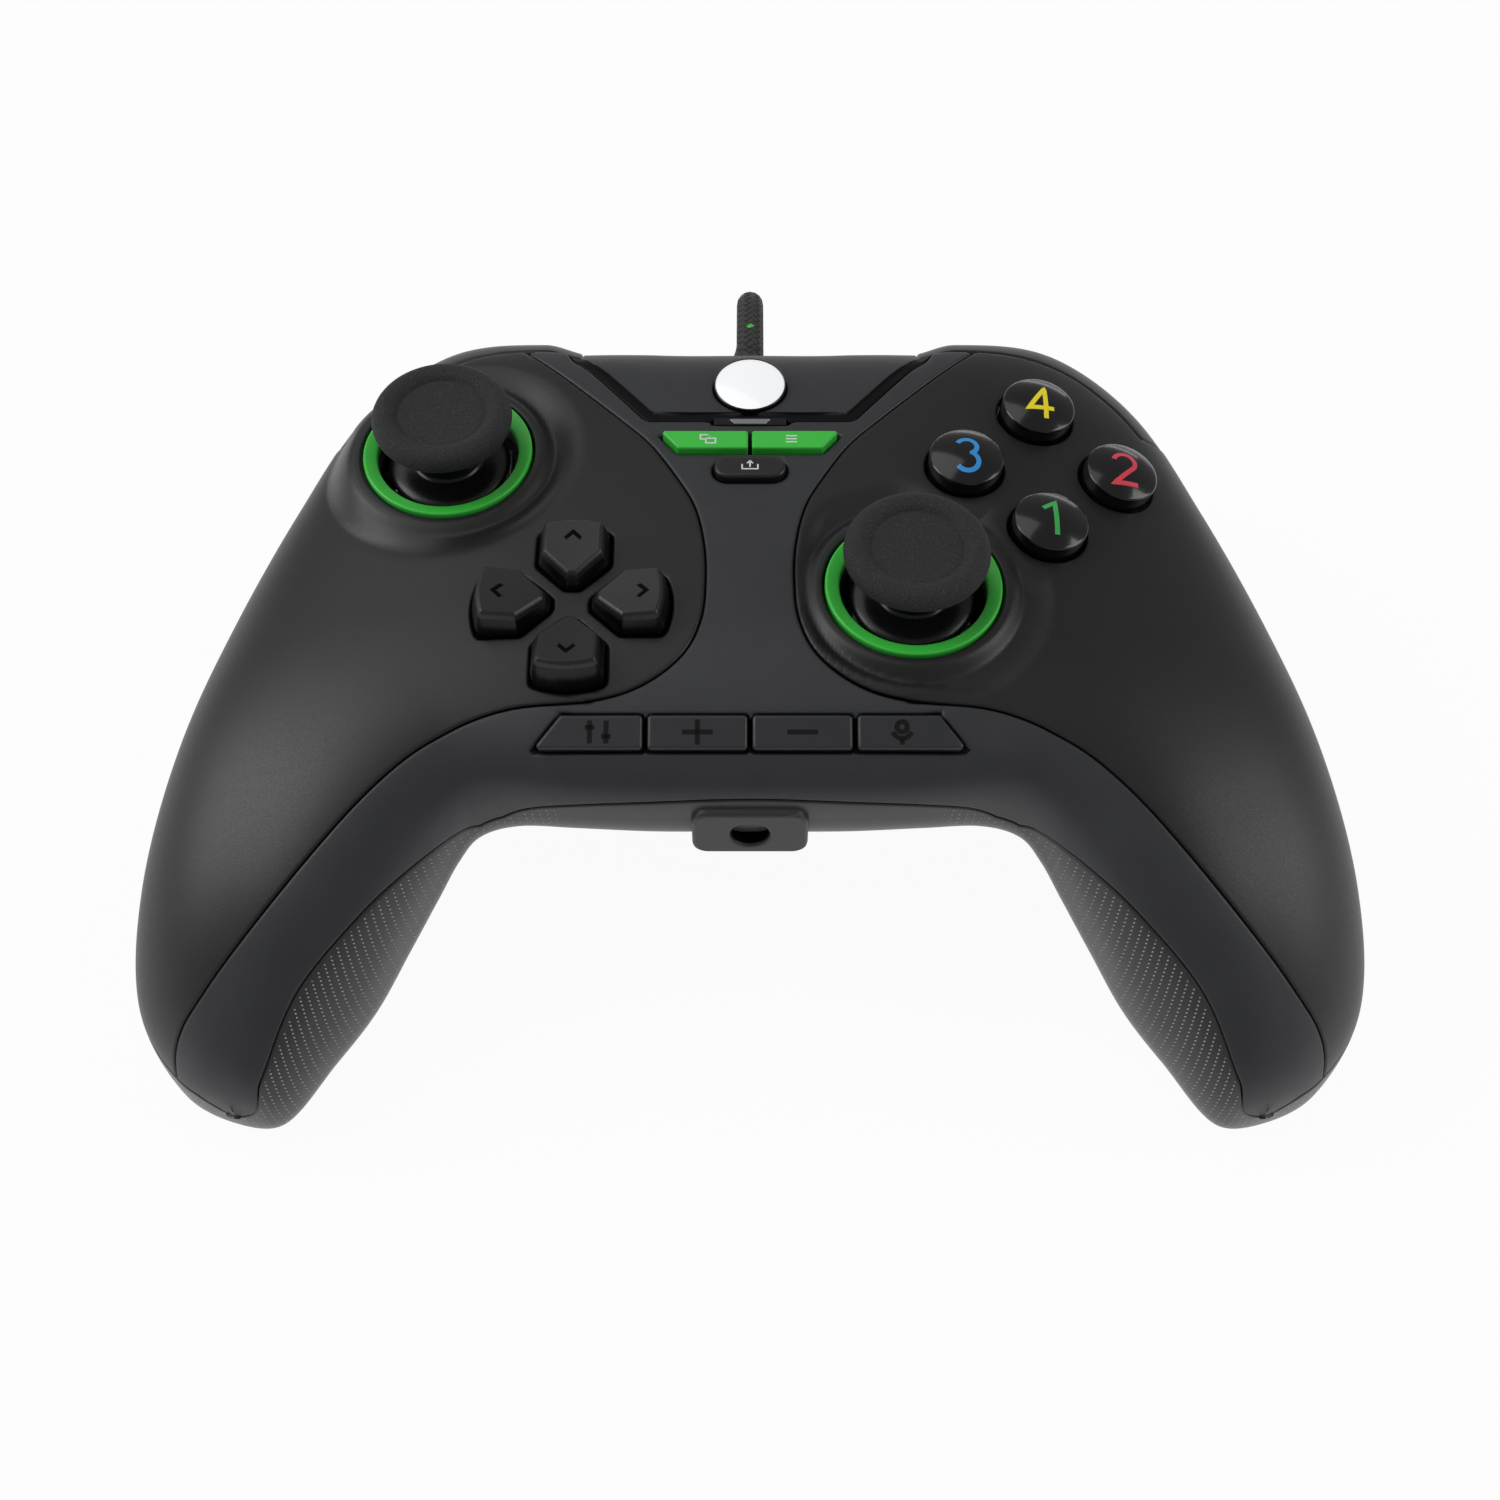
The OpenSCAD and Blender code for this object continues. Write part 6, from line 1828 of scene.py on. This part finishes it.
class Studio:
    """Camera, floor and soft lights."""

    lens: float = 50.0
    far: float = 252.8
    rise: float = math.radians(53)
    target: tuple[float, float, float] = (0.0, -25.133, 44.195)

    def camera(self) -> None:
        """Set the camera on a line that rises from the target towards the player's side."""
        data = bpy.data.cameras.new("camera")
        data.lens = self.lens
        data.sensor_width = 36
        data.clip_start = 0.01
        thing = bpy.data.objects.new("camera", data)
        bpy.context.scene.collection.objects.link(thing)
        back = np.array([0, -math.cos(self.rise), math.sin(self.rise)])
        thing.location = MM * (np.array(self.target) + self.far * back)
        thing.rotation_euler = (math.pi / 2 - self.rise, 0, 0)
        bpy.context.scene.camera = thing

    def floor(self) -> None:
        """Lay a wide pale floor that the camera sees as white with a faint shadow."""
        mesh = bpy.data.meshes.new("floor")
        mesh.from_pydata([(-4, -4, 0), (4, -4, 0), (4, 4, 0), (-4, 4, 0)], [], [(0, 1, 2, 3)])
        thing = bpy.data.objects.new("floor", mesh)
        bpy.context.scene.collection.objects.link(thing)
        bench = Bench("pale_floor")
        bench.shader.inputs["Base Color"].default_value = (0.86, 0.86, 0.86, 1)
        bench.shader.inputs["Roughness"].default_value = 0.9
        path = bench.add("ShaderNodeLightPath").outputs
        seen = bench.maths("MAXIMUM", path["Is Camera Ray"], bench.maths("MAXIMUM", path["Is Glossy Ray"],
                                                                         path["Is Transmission Ray"]))
        glow = bench.add("ShaderNodeEmission")
        glow.inputs["Color"].default_value = (1, 1, 1, 1)
        glow.inputs["Strength"].default_value = 1.0
        joint = bench.add("ShaderNodeMixShader")
        bench.link(bench.maths("MULTIPLY", seen, 0.95), joint.inputs[0])
        bench.link(bench.shader.outputs[0], joint.inputs[1])
        bench.link(glow.outputs[0], joint.inputs[2])
        bench.link(joint.outputs[0], bench.tree.nodes["Material Output"].inputs[0])
        mesh.materials.append(bench.material)

    def lamp(self, name: str, place: tuple[float, float, float], size: tuple[float, float],
             power: float) -> None:
        """Hang one soft box that faces the pad.

        Args:
            name: name of the lamp
            place: where it hangs
            size: width and height of the box
            power: its power in watts
        """
        data = bpy.data.lights.new(name, "AREA")
        data.shape = "RECTANGLE"
        data.size, data.size_y = size
        data.energy = power
        thing = bpy.data.objects.new(name, data)
        bpy.context.scene.collection.objects.link(thing)
        thing.location = place
        aim = np.array([0, 0, 0.03]) - np.array(place)
        flat = math.hypot(aim[0], aim[1])
        thing.rotation_euler = (math.atan2(flat, -aim[2]), 0, math.atan2(-aim[0], aim[1]))

    def lights(self) -> None:
        """Hang the boxes at both sides and above, a thin one behind, and set the surrounding light."""
        self.lamp("left_box", (-0.62, 0.05, 0.45), (0.4, 0.5), 2.0)
        self.lamp("right_box", (0.66, -0.05, 0.4), (0.4, 0.5), 1.6)
        self.lamp("top_box", (-0.45, 0.3, 0.95), (1.0, 0.9), 2.6)
        self.lamp("rear_strip", (0.0, 0.9, 0.14), (1.2, 0.08), 0.5)
        world = bpy.data.worlds.new("room")
        world.use_nodes = True
        shade = world.node_tree.nodes["Background"]
        shade.inputs["Color"].default_value = (1, 1, 1, 1)
        shade.inputs["Strength"].default_value = 0.25
        bpy.context.scene.world = world
        bpy.context.scene.view_settings.view_transform = "Standard"


def main() -> None:
    """Load the frame, build each sub-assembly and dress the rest."""
    logging.basicConfig(level=logging.INFO, format="%(message)s")
    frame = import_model()
    studio = Studio()
    studio.camera()
    cable = Cable()
    cable.jacket()
    cable.relief()
    shells = Shells()
    shells.panel(-1)
    shells.panel(1)
    shells.center_frame()
    shells.guide_panel()
    shells.rear_shell()
    sticks = Sticks()
    sticks.build(-1)
    sticks.build(1)
    FaceButtons().build()
    DirectionPad().build()
    SmallKeys().build()
    Shoulders().build()
    Inside().dress(frame["nodes"])
    studio.floor()
    studio.lights()


if __name__ == "__main__":
    main()
